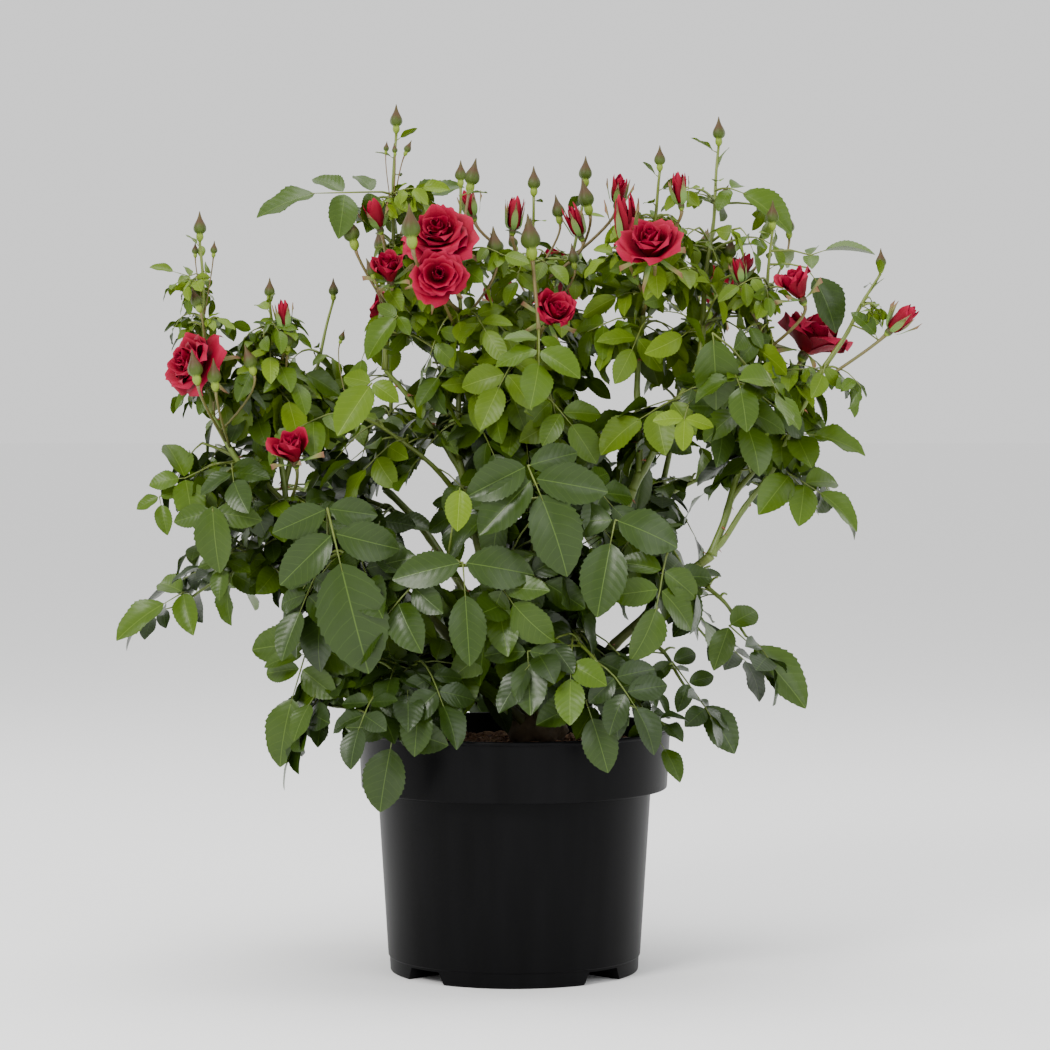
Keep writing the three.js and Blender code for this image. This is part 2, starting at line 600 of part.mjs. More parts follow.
/** Adds to a mass those leaves of a twig that find room, and the twig if it bears one beyond its foot. */
function addTwig({ name, mass, stem, pieces }, twig) {
  const grownTwig = twig.tip && rod([twig.root, twig.tip], WOOD.twig.map((r) => r + GAP), WOOD.sides);
  if (grownTwig && !clear(name, grownTwig)) return;
  const spine = new THREE.Line3(stem.getPoint(0), stem.getPoint(1));
  let borne = 0;
  for (const site of twig.leaves) {
    const sizes = LEAF_TRIES.map((share) => ({ ...site, size: share * site.size }));
    const fitting = sizes.find((sized) => {
      const grown = leaf(sized, GAP);
      const nearest = spine.closestPointToPoint(grown.end, true, new THREE.Vector3());
      return nearest.distanceTo(grown.end) < STRAY * mass.spread && clear(name, grown.solid, true);
    });
    if (!fitting) continue;
    const { solid } = leaf(fitting);
    raise(name, false, solid);
    pieces.push(solid);
    if (twig.tip && site.at !== twig.root) borne++;
  }
  if (!borne) return;
  const wood = rod([twig.root, twig.tip], WOOD.twig, WOOD.sides);
  raise(name, true, wood);
  pieces.push(wood);
}

// The masses grow side by side, a twig each in turn, so that none fills its neighbour's room.
const rounds = Math.max(...growths.map(({ twigs }) => twigs.length));
for (let round = 0; round < rounds; round++) {
  for (const growth of growths) {
    if (growth.twigs[round]) addTwig(growth, growth.twigs[round]);
  }
}
for (const { name, pieces } of growths) solids[name] = fused(pieces);

// ---------------------------------------------------------------- the assembly

const FINISH = {
  pot: { color: 0x1b1b1c, roughness: 0.5 },
  root_ball: { color: 0x4a3426, roughness: 0.95 },
  rootstock: { color: 0x6b5636, roughness: 0.85 },
  limb: { color: 0x6f8a34, roughness: 0.6 },
  mass: { color: 0x3f6a26, roughness: 0.45 },
};

const rose = new THREE.Group();
for (const [name, solid] of Object.entries(solids)) {
  const kind = FINISH[name] ?? (name in LIMBS ? FINISH.limb : FINISH.mass);
  const material = new THREE.MeshStandardMaterial({ ...kind, metalness: 0 });
  const mesh = new THREE.Mesh(geometryOf(solid), material);
  mesh.name = name;
  rose.add(mesh);
}

export default rose;
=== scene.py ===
import bpy
import numpy as np
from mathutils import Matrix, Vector


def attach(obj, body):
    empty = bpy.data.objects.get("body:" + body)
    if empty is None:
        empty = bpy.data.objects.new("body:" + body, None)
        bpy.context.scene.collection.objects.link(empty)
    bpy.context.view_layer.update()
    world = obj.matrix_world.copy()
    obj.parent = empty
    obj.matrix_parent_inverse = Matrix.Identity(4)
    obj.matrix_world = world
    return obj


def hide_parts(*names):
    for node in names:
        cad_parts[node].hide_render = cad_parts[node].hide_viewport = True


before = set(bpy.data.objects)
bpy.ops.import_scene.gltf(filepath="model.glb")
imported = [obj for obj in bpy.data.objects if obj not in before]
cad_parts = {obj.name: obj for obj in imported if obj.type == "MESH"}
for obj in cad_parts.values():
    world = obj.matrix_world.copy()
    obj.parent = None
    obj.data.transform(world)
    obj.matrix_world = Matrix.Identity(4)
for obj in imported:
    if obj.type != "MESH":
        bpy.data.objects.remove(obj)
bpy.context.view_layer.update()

MM = 0.001
UP = np.array([0.0, 0.0, 1.0])

# ---------------------------------------------------------------- studio
# A wide pale floor under a white sky, lit by large soft boxes: a key in front on the left, a fill on the
# right, one overhead, and two strips behind that light the edges of pot and leaves.

VIEW = {"target": (0.0089, 0.0, 0.3696), "distance": 2.85, "elevation": 2.2, "field": 17.38, "sensor": 36}
FLOOR = {"width": 60.0, "colour": (0.95, 0.95, 0.95), "roughness": 0.9}
SKY = {"colour": (1, 1, 1), "strength": 1.1}
LIT_POINT = (0, 0, 0.38)  # what the lamps are aimed at
SOFT_BOXES = [
    # name, place, size, watts, colour
    ("key_box", (-1.5, -2.2, 2.1), (1.0, 1.0), 80, (1.0, 0.985, 0.96)),
    ("fill_box", (1.9, -1.8, 1.2), (1.6, 1.6), 26, (0.96, 0.98, 1.0)),
    ("top_box", (0.0, 0.2, 2.6), (1.8, 1.4), 40, (1.0, 1.0, 1.0)),
    ("left_strip", (-1.7, 1.5, 0.7), (0.2, 1.8), 8, (1.0, 1.0, 1.0)),
    ("right_strip", (1.7, 1.5, 0.7), (0.2, 1.8), 8, (1.0, 1.0, 1.0)),
]


def aim(thing, place, target):
    """Puts a lamp or camera at a place with its -Z axis towards the target."""
    thing.location = place
    thing.rotation_euler = (Vector(target) - Vector(place)).to_track_quat("-Z", "Y").to_euler()
    bpy.context.scene.collection.objects.link(thing)
    return thing


def plain_material(name, colour, roughness):
    """A material whose shader has one colour and one roughness."""
    material = bpy.data.materials.new(name)
    material.use_nodes = True
    shader = material.node_tree.nodes["Principled BSDF"]
    shader.inputs["Base Color"].default_value = (*colour, 1)
    shader.inputs["Roughness"].default_value = roughness
    return material, material.node_tree, shader


def surface(name, points, corners, sizes, uv=None, smooth=True):
    """A mesh object from its points in millimetres, the list of all faces' corners, and the number of
    corners of each face. uv holds a pair for each point."""
    mesh = bpy.data.meshes.new(name)
    corners = np.asarray(corners, np.int32).ravel()
    sizes = np.asarray(sizes, np.int32).ravel()
    mesh.vertices.add(len(points))
    mesh.vertices.foreach_set("co", (np.asarray(points, float) * MM).ravel())
    mesh.loops.add(len(corners))
    mesh.loops.foreach_set("vertex_index", corners)
    mesh.polygons.add(len(sizes))
    mesh.polygons.foreach_set("loop_start", np.concatenate([[0], np.cumsum(sizes)[:-1]]).astype(np.int32))
    mesh.polygons.foreach_set("use_smooth", np.full(len(sizes), smooth))
    if uv is not None:
        layer = mesh.uv_layers.new(name="OFBake")
        layer.data.foreach_set("uv", np.asarray(uv, float)[corners].ravel())
    mesh.update(calc_edges=True)
    mesh.validate()
    thing = bpy.data.objects.new(name, mesh)
    bpy.context.scene.collection.objects.link(thing)
    return thing


def dress(piece, material, slot, *nodes):
    """Gives a piece its material, rides it on the plant, and stands it for the nodes named. The slot is not
    used.
    """
    piece.data.materials.append(material)
    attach(piece, "root")
    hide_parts(*nodes)
    return piece


def quads(rows, columns, wrap=False):
    """The corners of a grid's faces, four to a face: row by row, and round to the first column if wrap."""
    across = np.arange(columns if wrap else columns - 1)
    a = np.arange(rows - 1)[:, None] * columns + across
    b = np.arange(rows - 1)[:, None] * columns + (across + 1) % columns
    return np.stack([a, b, b + columns, a + columns], -1).reshape(-1, 4)


def lay_floor():
    """The floor: one level square of paper, as wide as FLOOR says, under the middle of the pot."""
    edges = np.array([-0.5, 0.5]) * FLOOR["width"]
    x, y = np.meshgrid(edges, edges)
    points = np.stack([x, y, np.zeros_like(x)], -1).reshape(-1, 3)
    floor = surface("studio_floor", points / MM, quads(2, 2), np.array([4]))
    floor.data.materials.append(plain_material("floor_paper", FLOOR["colour"], FLOOR["roughness"])[0])


lay_floor()
for name, place, size, watts, colour in SOFT_BOXES:
    light = bpy.data.lights.new(name, "AREA")
    light.shape = "RECTANGLE"
    light.size, light.size_y = size
    light.energy = watts
    light.color = colour
    aim(bpy.data.objects.new(name, light), place, LIT_POINT)

world = bpy.data.worlds.new("studio_air")
world.use_nodes = True
world.node_tree.nodes["Background"].inputs["Color"].default_value = (*SKY["colour"], 1)
world.node_tree.nodes["Background"].inputs["Strength"].default_value = SKY["strength"]
bpy.context.scene.world = world

lens = bpy.data.cameras.new("studio_camera")
lens.sensor_width = VIEW["sensor"]
lens.angle = np.radians(VIEW["field"])
tip_up = np.radians(VIEW["elevation"])
stand = Vector(VIEW["target"]) + VIEW["distance"] * Vector((0, -np.cos(tip_up), np.sin(tip_up)))
bpy.context.scene.camera = aim(bpy.data.objects.new("studio_camera", lens), stand, VIEW["target"])

# ---------------------------------------------------------------- pot
# An injection-moulded nursery pot of black polypropylene: a tapered body, a deep collar with a rolled lip, a
# foot band that is set back a little, and four drainage channels pressed up under the foot.

POT = {"foot": 104, "set_back": 0.8, "band": 13, "body_top": 113.6, "collar_foot": 127, "collar_top": 129.4}
POT.update({"lip": 132, "height": 202, "collar": 50, "lip_height": 3, "wall": 2.2, "base": 13.5})
CHANNEL = {"count": 4, "foot": 41, "top": 32, "height": 10.5, "depth": 36}
# The wedges that cut the channels run on below the foot and outside it, and are wider there by a share.
CUT = {"below": 5, "past": 30, "wider": 0.125}
POT_SIDES = 192
ROUNDING = 1.6


def rounded(outline, radius, steps=5):
    """An outline with each inner corner replaced by a short curve that starts and ends radius away."""
    outline = np.asarray(outline, float)
    soft = [outline[:1]]
    for before, corner, after in zip(outline[:-2], outline[1:-1], outline[2:]):
        back, on = before - corner, after - corner
        reach = min(radius, 0.45 * np.linalg.norm(back), 0.45 * np.linalg.norm(on))
        start = corner + back * reach / np.linalg.norm(back)
        end = corner + on * reach / np.linalg.norm(on)
        t = np.linspace(0, 1, steps)[:, None]
        soft.append((1 - t) ** 2 * start + 2 * t * (1 - t) * corner + t**2 * end)
    soft.append(outline[-1:])
    return np.concatenate(soft)


def turned(name, outline, sides):
    """A closed body: an outline of radius and height that starts and ends on the axis, turned about it."""
    rings = outline[1:-1]
    turn = 2 * np.pi * np.arange(sides) / sides
    x = rings[:, :1] * np.cos(turn)
    y = rings[:, :1] * np.sin(turn)
    z = np.broadcast_to(rings[:, 1:], x.shape)
    poles = [[0, 0, outline[0][1]], [0, 0, outline[-1][1]]]
    points = np.concatenate([np.stack([x, y, z], -1).reshape(-1, 3), poles])
    count = len(rings) * sides
    ring = np.arange(sides)
    following = (ring + 1) % sides
    first = np.stack([np.full(sides, count), following, ring], -1)
    last = np.stack([np.full(sides, count + 1), ring + count - sides, following + count - sides], -1)
    faces = quads(len(rings), sides, wrap=True)
    corners = np.concatenate([first.ravel(), faces.ravel(), last.ravel()])
    sizes = np.concatenate([np.full(sides, 3), np.full(len(faces), 4), np.full(sides, 3)])
    return surface(name, points, corners, sizes)


def pot_shell():
    """The pot's outline goes out along the underside, up outside, over the lip and down inside to its base;
    the channels are wedges that a Boolean cut takes out of the solid foot."""
    shoulder = POT["height"] - POT["collar"]
    lip_foot = POT["height"] - POT["lip_height"]
    outline = [
        (0, 0),
        (POT["foot"] - POT["set_back"], 0),
        (POT["foot"] - POT["set_back"] + 0.6, POT["band"] - 0.8),
        (POT["foot"] + 0.9, POT["band"]),
        (POT["body_top"], shoulder),
        (POT["collar_foot"], shoulder),
        (POT["collar_top"], lip_foot),
        (POT["lip"], lip_foot),
        (POT["lip"], POT["height"]),
        (POT["collar_top"] - POT["wall"], POT["height"]),
        (POT["collar_foot"] - POT["wall"], shoulder + POT["wall"]),
        (POT["body_top"] - POT["wall"], shoulder + POT["wall"]),
        (POT["foot"] - POT["wall"], POT["base"]),
        (0, POT["base"]),
    ]
    shell = turned("pot_shell", rounded(outline, ROUNDING), POT_SIDES)
    foot = CHANNEL["foot"] * (1 + CUT["wider"]) / 2
    top = CHANNEL["top"] / 2
    wedge_x = np.array([-foot, foot, top, -top])
    wedge_z = np.array([-CUT["below"], -CUT["below"], CHANNEL["height"], CHANNEL["height"]])
    inner = POT["foot"] - CHANNEL["depth"]
    outer = POT["foot"] + CUT["past"]
    near = np.stack([wedge_x, np.full(4, -inner), wedge_z], -1)
    far = np.stack([wedge_x, np.full(4, -outer), wedge_z], -1)
    box = [3, 2, 1, 0, 4, 5, 6, 7, 1, 5, 4, 0, 2, 6, 5, 1, 3, 7, 6, 2, 0, 4, 7, 3]
    points = []
    for index in range(CHANNEL["count"]):
        turn = np.pi / 4 + 2 * np.pi * index / CHANNEL["count"]
        spin = np.array([[np.cos(turn), np.sin(turn), 0], [-np.sin(turn), np.cos(turn), 0], [0, 0, 1]])
        points.append(np.concatenate([near, far]) @ spin)
    corners = np.concatenate([np.array(box) + 8 * index for index in range(CHANNEL["count"])])
    cutter = surface("channel_wedges", np.concatenate(points), corners, np.full(len(corners) // 4, 4))
    cut = shell.modifiers.new("channels", "BOOLEAN")
    cut.operation = "DIFFERENCE"
    cut.solver = "EXACT"
    cut.object = cutter
    finished = bpy.data.meshes.new_from_object(shell.evaluated_get(bpy.context.evaluated_depsgraph_get()))
    shell.modifiers.clear()
    shell.data = finished
    bpy.data.objects.remove(cutter)
    finished.set_sharp_from_angle(angle=np.radians(35))
    return shell


def join(tree, node, inputs):
    """Sets each of a node's inputs to its value, or links it where the value is another node's output."""
    for socket, value in inputs.items():
        if isinstance(value, bpy.types.NodeSocket):
            tree.links.new(value, node.inputs[socket])
        else:
            node.inputs[socket].default_value = value


def add(tree, kind, inputs, output, **settings):
    """A new shader node of a kind, with its settings and inputs. What comes back is the output named."""
    node = tree.nodes.new("ShaderNode" + kind)
    for setting, value in settings.items():
        setattr(node, setting, value)
    join(tree, node, inputs)
    return node.outputs[output]


def ramp(tree, value, stops):
    """A colour that blends from stop to stop as the value rises. A stop is a share and a colour."""
    node = tree.nodes.new("ShaderNodeValToRGB")
    while len(node.color_ramp.elements) < len(stops):
        node.color_ramp.elements.new(0.5)
    for element, (position, colour) in zip(node.color_ramp.elements, stops):
        element.position = position
        element.color = (*colour, 1)
    join(tree, node, {"Fac": value})
    return node.outputs["Color"]


def relief(tree, height, strength, depth):
    """A bump by a height from 0 to 1, as deep as depth, in metres."""
    return add(tree, "Bump", {"Strength": strength, "Distance": depth, "Height": height}, "Normal")


def pot_plastic():
    """Black plastic: a satin surface with a fine moulded grain, faint drips of dust and scuffed roughness."""
    material, tree, shader = plain_material("black_pot_plastic", (0.002, 0.002, 0.0023), 0.4)
    place = add(tree, "TexCoord", {}, "Object")
    drawn_out = add(tree, "Mapping", {"Scale": (1, 1, 0.12), "Vector": place}, "Vector")
    streaks = add(tree, "TexNoise", {"Scale": 45, "Detail": 4, "Vector": drawn_out}, "Fac")
    grain = add(tree, "TexNoise", {"Scale": 900, "Vector": place}, "Fac")
    finish = {
        "Base Color": ramp(tree, streaks, [(0.35, (0.0018, 0.0018, 0.002)), (0.8, (0.004, 0.004, 0.0045))]),
        "Roughness": add(tree, "MapRange", {"To Min": 0.34, "To Max": 0.46, "Value": streaks}, "Result"),
        "Specular IOR Level": 0.06,
        "Normal": relief(tree, grain, 0.12, 0.0004),
    }
    join(tree, shader, finish)
    return material


dress(pot_shell(), pot_plastic(), "pot_plastic", "pot")

# ---------------------------------------------------------------- compost
# The root ball: peat and shredded bark that fill the pot to just under the top of its collar. Its top is a
# rough crust, strewn with bark chips and with long reddish-brown fibres.

SOIL = {"top": 188, "crown": 4, "edge": 126.2, "rings": 46, "sides": 150, "settled": 2.5}
SKIRT = {"radius": [126.2, 110, 101], "height": [160, 150, 15]}  # the rings below the crust, out of sight
LUMPS = ((2.2, 40, 1), (1.3, 13, 2), (0.8, 5, 3))  # the crust's lumps: height, length, seed
CHIPS = {"count": 900, "size": (6, 3, 1.6), "tumble": 0.35, "sunk": 0.8}
CHIP_RIM = [(1, 0, 0), (0.4, 0.9, 0.1), (-0.6, 0.7, 0), (-1, -0.1, 0.1), (-0.5, -0.8, 0), (0.6, -0.7, 0)]
FIBRES = {"count": 700, "length": (9, 30), "radius": (0.25, 0.7), "reach": 118, "within": 122}
scatter = np.random.default_rng(7)


def ripple(x, y, scale, seed):
    """A smooth random height: twelve waves of like length that run in random directions, summed."""
    waves = np.random.default_rng(seed)
    turn = waves.uniform(0, 2 * np.pi, 12)
    length = scale * waves.uniform(0.6, 1.7, 12)
    shift = waves.uniform(0, 2 * np.pi, 12)
    along = x[..., None] * np.cos(turn) + y[..., None] * np.sin(turn)
    return np.sin(2 * np.pi * along / length + shift).sum(-1) / 6


def crust_height(x, y):
    """The crust's height: domed towards the middle, with lumps of three sizes that fade at the wall."""
    out = np.hypot(x, y) / SOIL["edge"]
    lumps = sum(tall * ripple(x, y, length, seed) for tall, length, seed in LUMPS)
    return SOIL["top"] - SOIL["crown"] * out**2 - SOIL["settled"] + lumps * (1 - 0.6 * out**4)


def closed_rings(count, steps, sides):
    """The corners and the corner counts of many closed bodies that are alike: faces of four corners between
    a body's rings, and a flat face over its first and its last ring."""
    faces = quads(steps, sides, wrap=True)
    ring = np.arange(sides)
    corners = np.concatenate([faces.ravel(), ring[::-1], ring + (steps - 1) * sides])
    sizes = np.tile([4] * len(faces) + [sides, sides], count)
    return corners + steps * sides * np.arange(count)[:, None], sizes


def root_ball():
    """A polar grid over the crust, then down the pot's inner wall to a flat base."""
    radius = np.concatenate([np.linspace(0.5, SOIL["edge"], SOIL["rings"]), SKIRT["radius"]])
    turn = -2 * np.pi * np.arange(SOIL["sides"]) / SOIL["sides"]
    x, y = radius[:, None] * np.cos(turn), radius[:, None] * np.sin(turn)
    z = crust_height(x, y)
    z[-3:] = np.array(SKIRT["height"])[:, None]
    points = np.stack([x, y, z], -1).reshape(-1, 3)
    return surface("root_ball_crust", points, *closed_rings(1, len(radius), SOIL["sides"]))


def strewn(count, reach):
    """Spots at random on the crust, evenly over its area, out to a share of its radius."""
    radius = SOIL["edge"] * reach * np.sqrt(scatter.uniform(0, 1, count))
    turn = scatter.uniform(0, 2 * np.pi, count)
    return radius * np.cos(turn), radius * np.sin(turn)


def bark_chips():
    """Each chip is a flat six-cornered slab that is stretched, turned and tipped at random."""
    count = CHIPS["count"]
    x, y = strewn(count, 0.97)
    centre = np.stack([x, y, crust_height(x, y) + CHIPS["sunk"]], -1)
    rim = np.array(CHIP_RIM)
    slab = np.concatenate([rim + (0, 0, 0.5), rim * (0.9, 0.9, 1) - (0, 0, 0.5)])
    size = scatter.uniform(0.6, 1.6, (count, 1, 1)) * scatter.uniform(0.5, 1, (count, 1, 3)) * CHIPS["size"]
    spin = scatter.uniform(0, 2 * np.pi, count)
    tilt = scatter.normal(0, CHIPS["tumble"], (count, 2))
    shape = slab * size
    cos, sin = np.cos(spin)[:, None], np.sin(spin)[:, None]
    flat_x = shape[..., 0] * cos - shape[..., 1] * sin
    flat_y = shape[..., 0] * sin + shape[..., 1] * cos
    lift = shape[..., 2] + flat_x * tilt[:, :1] + flat_y * tilt[:, 1:]
    points = centre[:, None] + np.stack([flat_x, flat_y, lift], -1)
    ring = np.arange(6)
    after = (ring + 1) % 6
    side = np.stack([ring, ring + 6, after + 6, after], -1).ravel()
    corners = np.concatenate([ring, side, ring[::-1] + 6]) + 12 * np.arange(count)[:, None]
    sizes = np.tile([6] + [4] * 6 + [6], count)
    return surface("bark_chips", points.reshape(-1, 3), corners, sizes, smooth=False)


def tubes(name, paths, radii, sides):
    """Closed tubes along many paths at once. paths is (tubes, steps, 3), radii (tubes, steps) or more, with
    one radius for each side. A ring stands across each step, and a flat face closes each end."""
    paths = np.asarray(paths, float)
    count, steps, _ = paths.shape
    along = np.gradient(paths, axis=1)
    along /= np.linalg.norm(along, axis=-1, keepdims=True) + 1e-12
    guide = np.eye(3)[np.abs(along.mean(1)).argmin(-1)][:, None]
    across = np.cross(along, guide)
    across /= np.linalg.norm(across, axis=-1, keepdims=True)
    other = np.cross(along, across)
    turn = 2 * np.pi * np.arange(sides) / sides
    radii = np.asarray(radii, float)
    radii = radii[..., None] if radii.ndim == 2 else radii
    ring = across[:, :, None] * np.cos(turn)[:, None] + other[:, :, None] * np.sin(turn)[:, None]
    points = (paths[:, :, None] + ring * radii[..., None]).reshape(-1, 3)
    return surface(name, points, *closed_rings(count, steps, sides))


def peat_fibres():
    """Short strands that lie over the crust, each a bent line with its ends near the ground."""
    count, reach = FIBRES["count"], FIBRES["reach"]
    x, y = strewn(count, 0.95)
    way = scatter.uniform(0, 2 * np.pi, count)
    length = scatter.uniform(*FIBRES["length"], count)
    bend = scatter.normal(0, 0.6, count)
    t = np.linspace(-0.5, 0.5, 6)
    turn = way[:, None] + bend[:, None] * t
    path_x = np.clip(x[:, None] + length[:, None] * t * np.cos(turn), -reach, reach)
    path_y = np.clip(y[:, None] + length[:, None] * t * np.sin(turn), -reach, reach)
    inside = np.minimum(1, FIBRES["within"] / np.hypot(path_x, path_y))
    path_x, path_y = path_x * inside, path_y * inside
    hump = scatter.uniform(0, 4, count)[:, None] * (1 - 4 * t**2)
    path_z = crust_height(path_x, path_y) + 1.2 + hump
    radii = np.broadcast_to(scatter.uniform(*FIBRES["radius"], count)[:, None], (count, 6))
    return tubes("peat_fibres", np.stack([path_x, path_y, path_z], -1), radii, 4)


def earth(name, dark, light, scale):
    """Peat or bark: two browns mottled together, with a rough, crumbly bump."""
    material, tree, shader = plain_material(name, dark, 0.95)
    place = add(tree, "TexCoord", {}, "Object")
    mottle = add(tree, "TexNoise", {"Scale": scale, "Detail": 6, "Vector": place}, "Fac")
    browns = ramp(tree, mottle, [(0.35, dark), (0.68, light)])
    join(tree, shader, {"Base Color": browns, "Normal": relief(tree, mottle, 0.7, 0.002)})
    return material


dress(root_ball(), earth("peat", (0.035, 0.018, 0.012), (0.14, 0.075, 0.045), 260), "compost", "root_ball")
dress(bark_chips(), earth("shredded_bark", (0.075, 0.038, 0.023), (0.26, 0.14, 0.085), 180), "compost")
dress(peat_fibres(), earth("peat_fibre", (0.16, 0.085, 0.05), (0.45, 0.27, 0.16), 90), "compost")

# ---------------------------------------------------------------- rootstock, canes and boughs
# The woody frame: a knobbly graft union just above the compost, nine canes that spring from it, and the
# boughs that fork from them. Bark is green above and brown below, with raised nodes and downturned prickles.

STOCK = {"x": 18, "y": 5, "radius": 25, "neck": 20, "height": 30, "seat": 17}
GAP = 0.3
CANES = {
    # the bearing of its seat round the rootstock, its tip, arch, and radius at both ends
    "cane_right": (332, (162, -32, 346), 0.05, (4.8, 3.8)),
    "cane_centre_right": (10, (103, -18, 414), 0.03, (4.8, 3.8)),
    "cane_back_right": (52, (128, 120, 400), 0.1, (4.4, 3.2)),
    "cane_centre": (90, (12, 34, 440), 0, (4.6, 3.4)),
    "cane_back_left": (128, (-112, 128, 395), 0.1, (4.4, 3.2)),
    "cane_centre_left": (165, (-46, -8, 424), 0.02, (4.6, 3.6)),
    "cane_left": (200, (-201, -30, 384), 0.1, (4.8, 3.4)),
    "cane_front_left": (236, (-112, -78, 262), 0.12, (4.0, 2.6)),
    "cane_front": (282, (14, -92, 348), 0.12, (4.2, 3.0)),
}
BOUGHS = {
    # the limb that it forks from and the share along it, its tip, arch, and radius at both ends
    "right_upper_bough": (("cane_right", 1), (196, -20, 440), 0.02, (3.4, 2.6)),
    "right_outer_bough": (("cane_right", 0.93), (243, -44, 482), -0.08, (2.8, 2.1)),
    "centre_right_bough": (("cane_centre_right", 1), (102, -8, 512), 0, (3.2, 2.5)),
    "leaning_bough": (("cane_centre_right", 0.92), (152, -34, 506), 0, (3.2, 2.4)),
    "arching_bough": (("cane_centre_left", 0.95), (-106, -26, 498), 0.04, (2.6, 2)),
    "left_outer_bough": (("cane_left", 1), (-247, -44, 462), -0.03, (3.0, 2.3)),
    "left_upper_bough": (("cane_left", 0.93), (-196, -14, 470), -0.05, (2.8, 2.2)),
}
LIMBS = {name: dict(zip(("seat", "tip", "arch", "radius"), row)) for name, row in CANES.items()}
LIMBS.update({name: dict(zip(("from", "tip", "arch", "radius"), row)) for name, row in BOUGHS.items()})
BURRS = ((1.6, 5, 0.2), (0.9, 11, -1 / 2.4), (0.5, 23, 1))  # waves on the rootstock: height, count, twist
BARK = {"node_every": 38, "swell": 0.13, "furrow": (0.09, 0.05), "sway": 1.1, "sway_every": 90}
PRICKLE = {"every": 17, "size": (3.0, 5.4), "droop": 0.45, "taper": (1.5, 0.85, 0.5, 0.26, 0.06)}


def heading(bearing, height):
    """The unit vector on a bearing from +X and at a height above the level, both in radians."""
    level = np.cos(height)
    return np.stack([np.cos(bearing) * level, np.sin(bearing) * level, np.sin(height)], -1)


def unit(vectors):
    """Vectors made one long."""
    vectors = np.asarray(vectors, float)
    return vectors / np.maximum(np.linalg.norm(vectors, axis=-1, keepdims=True), 1e-9)


class Centreline:
    """A limb's or stem's line: one bend from root to tip, its middle lifted by arch times its length."""

    def __init__(self, root, tip, arch):
        self.root = np.asarray(root, float)
        self.tip = np.asarray(tip, float)
        self.lift = (self.root + self.tip) / 2 + UP * 2 * arch * np.linalg.norm(self.tip - self.root)

    def at(self, share):
        """The point at a share of the way, (1-t)^2 root + 2t(1-t) middle + t^2 tip."""
        t = np.asarray(share, float)[..., None]
        return (1 - t) ** 2 * self.root + 2 * t * (1 - t) * self.lift + t**2 * self.tip

    def way(self, share):
        """The unit vector along the line at a share of the way."""
        t = np.asarray(share, float)[..., None]
        return unit((1 - t) * (self.lift - self.root) + t * (self.tip - self.lift))


lines = {}
for name, limb in LIMBS.items():
    if "from" in limb:
        parent, share = limb["from"]
        root = lines[parent].at(share)
    else:
        knob = np.array([STOCK["x"], STOCK["y"], SOIL["top"] + GAP + 0.6 * STOCK["height"]])
        root = knob + STOCK["seat"] * heading(np.radians(limb["seat"]), 0)
    lines[name] = Centreline(root, limb["tip"], limb["arch"])


def rootstock():
    """A squat knob: its radius swells and closes over the top, and three sizes of wave make burrs on it."""
    share = np.linspace(0, 1, 26)
    radius = STOCK["neck"] + (STOCK["radius"] - STOCK["neck"]) * np.sin(np.pi * np.minimum(1, 1.3 * share))
    radius *= np.sqrt(np.clip(1 - share**5, 0, 1))
    side = np.stack([radius, STOCK["height"] * share], -1)[:-1]
    outline = np.concatenate([[(0, -1.5)], side, [(0, STOCK["height"])]])
    knob = turned("rootstock_bark", outline, 72)
    place = np.empty(len(knob.data.vertices) * 3)
    knob.data.vertices.foreach_get("co", place)
    place = place.reshape(-1, 3) / MM
    turn = np.arctan2(place[:, 1], place[:, 0])
    burr = sum(tall * np.sin(waves * turn + place[:, 2] * twist) for tall, waves, twist in BURRS)
    out = np.hypot(place[:, 0], place[:, 1])
    place[:, :2] *= (1 + burr / np.maximum(out, 8))[:, None]
    place += (STOCK["x"], STOCK["y"], SOIL["top"] + GAP)
    knob.data.vertices.foreach_set("co", (place * MM).ravel())
    knob.data.update()
    return knob


def limb_bark(name, names, steps=46, sides=14):
    """Each limb's tube tapers from root to tip, swells into a ring at its nodes, and has shallow furrows."""
    t = np.linspace(0, 1, steps)
    paths = np.stack([lines[limb].at(t) for limb in names])
    length = np.linalg.norm(np.diff(paths, axis=1), axis=-1).sum(-1)
    ends = np.array([LIMBS[limb]["radius"] for limb in names])
    taper = ends[:, :1] * (1 - t) + ends[:, 1:] * t
    nodes = (length / BARK["node_every"])[:, None]
    node = 0.5 + 0.5 * np.cos(2 * np.pi * t * nodes + np.arange(len(names))[:, None])
    flare = 1 + 0.35 * np.exp(-t * length[:, None] / 9)
    turn = 2 * np.pi * np.arange(sides) / sides
    deep, shallow = BARK["furrow"]
    furrow = deep * np.sin(3 * turn + 9 * t[:, None] * (length / 60)[:, None, None])
    furrow += shallow * np.sin(5 * turn - 14 * t[:, None])
    radii = (taper * flare * (0.93 + BARK["swell"] * node**8))[..., None] + furrow
    bends = (length / BARK["sway_every"])[:, None]
    sway = np.stack([np.sin(2 * np.pi * t * bends + shift) for shift in (0, 1.7, 3.1)], -1)
    paths = paths + BARK["sway"] * sway * np.sin(np.pi * t)[:, None]
    return tubes(name, paths, radii, sides)


def maths(tree, operation, *values):
    """A sum worked out in a material: its values are numbers or other nodes' outputs."""
    return add(tree, "Math", dict(enumerate(values)), "Value", operation=operation)


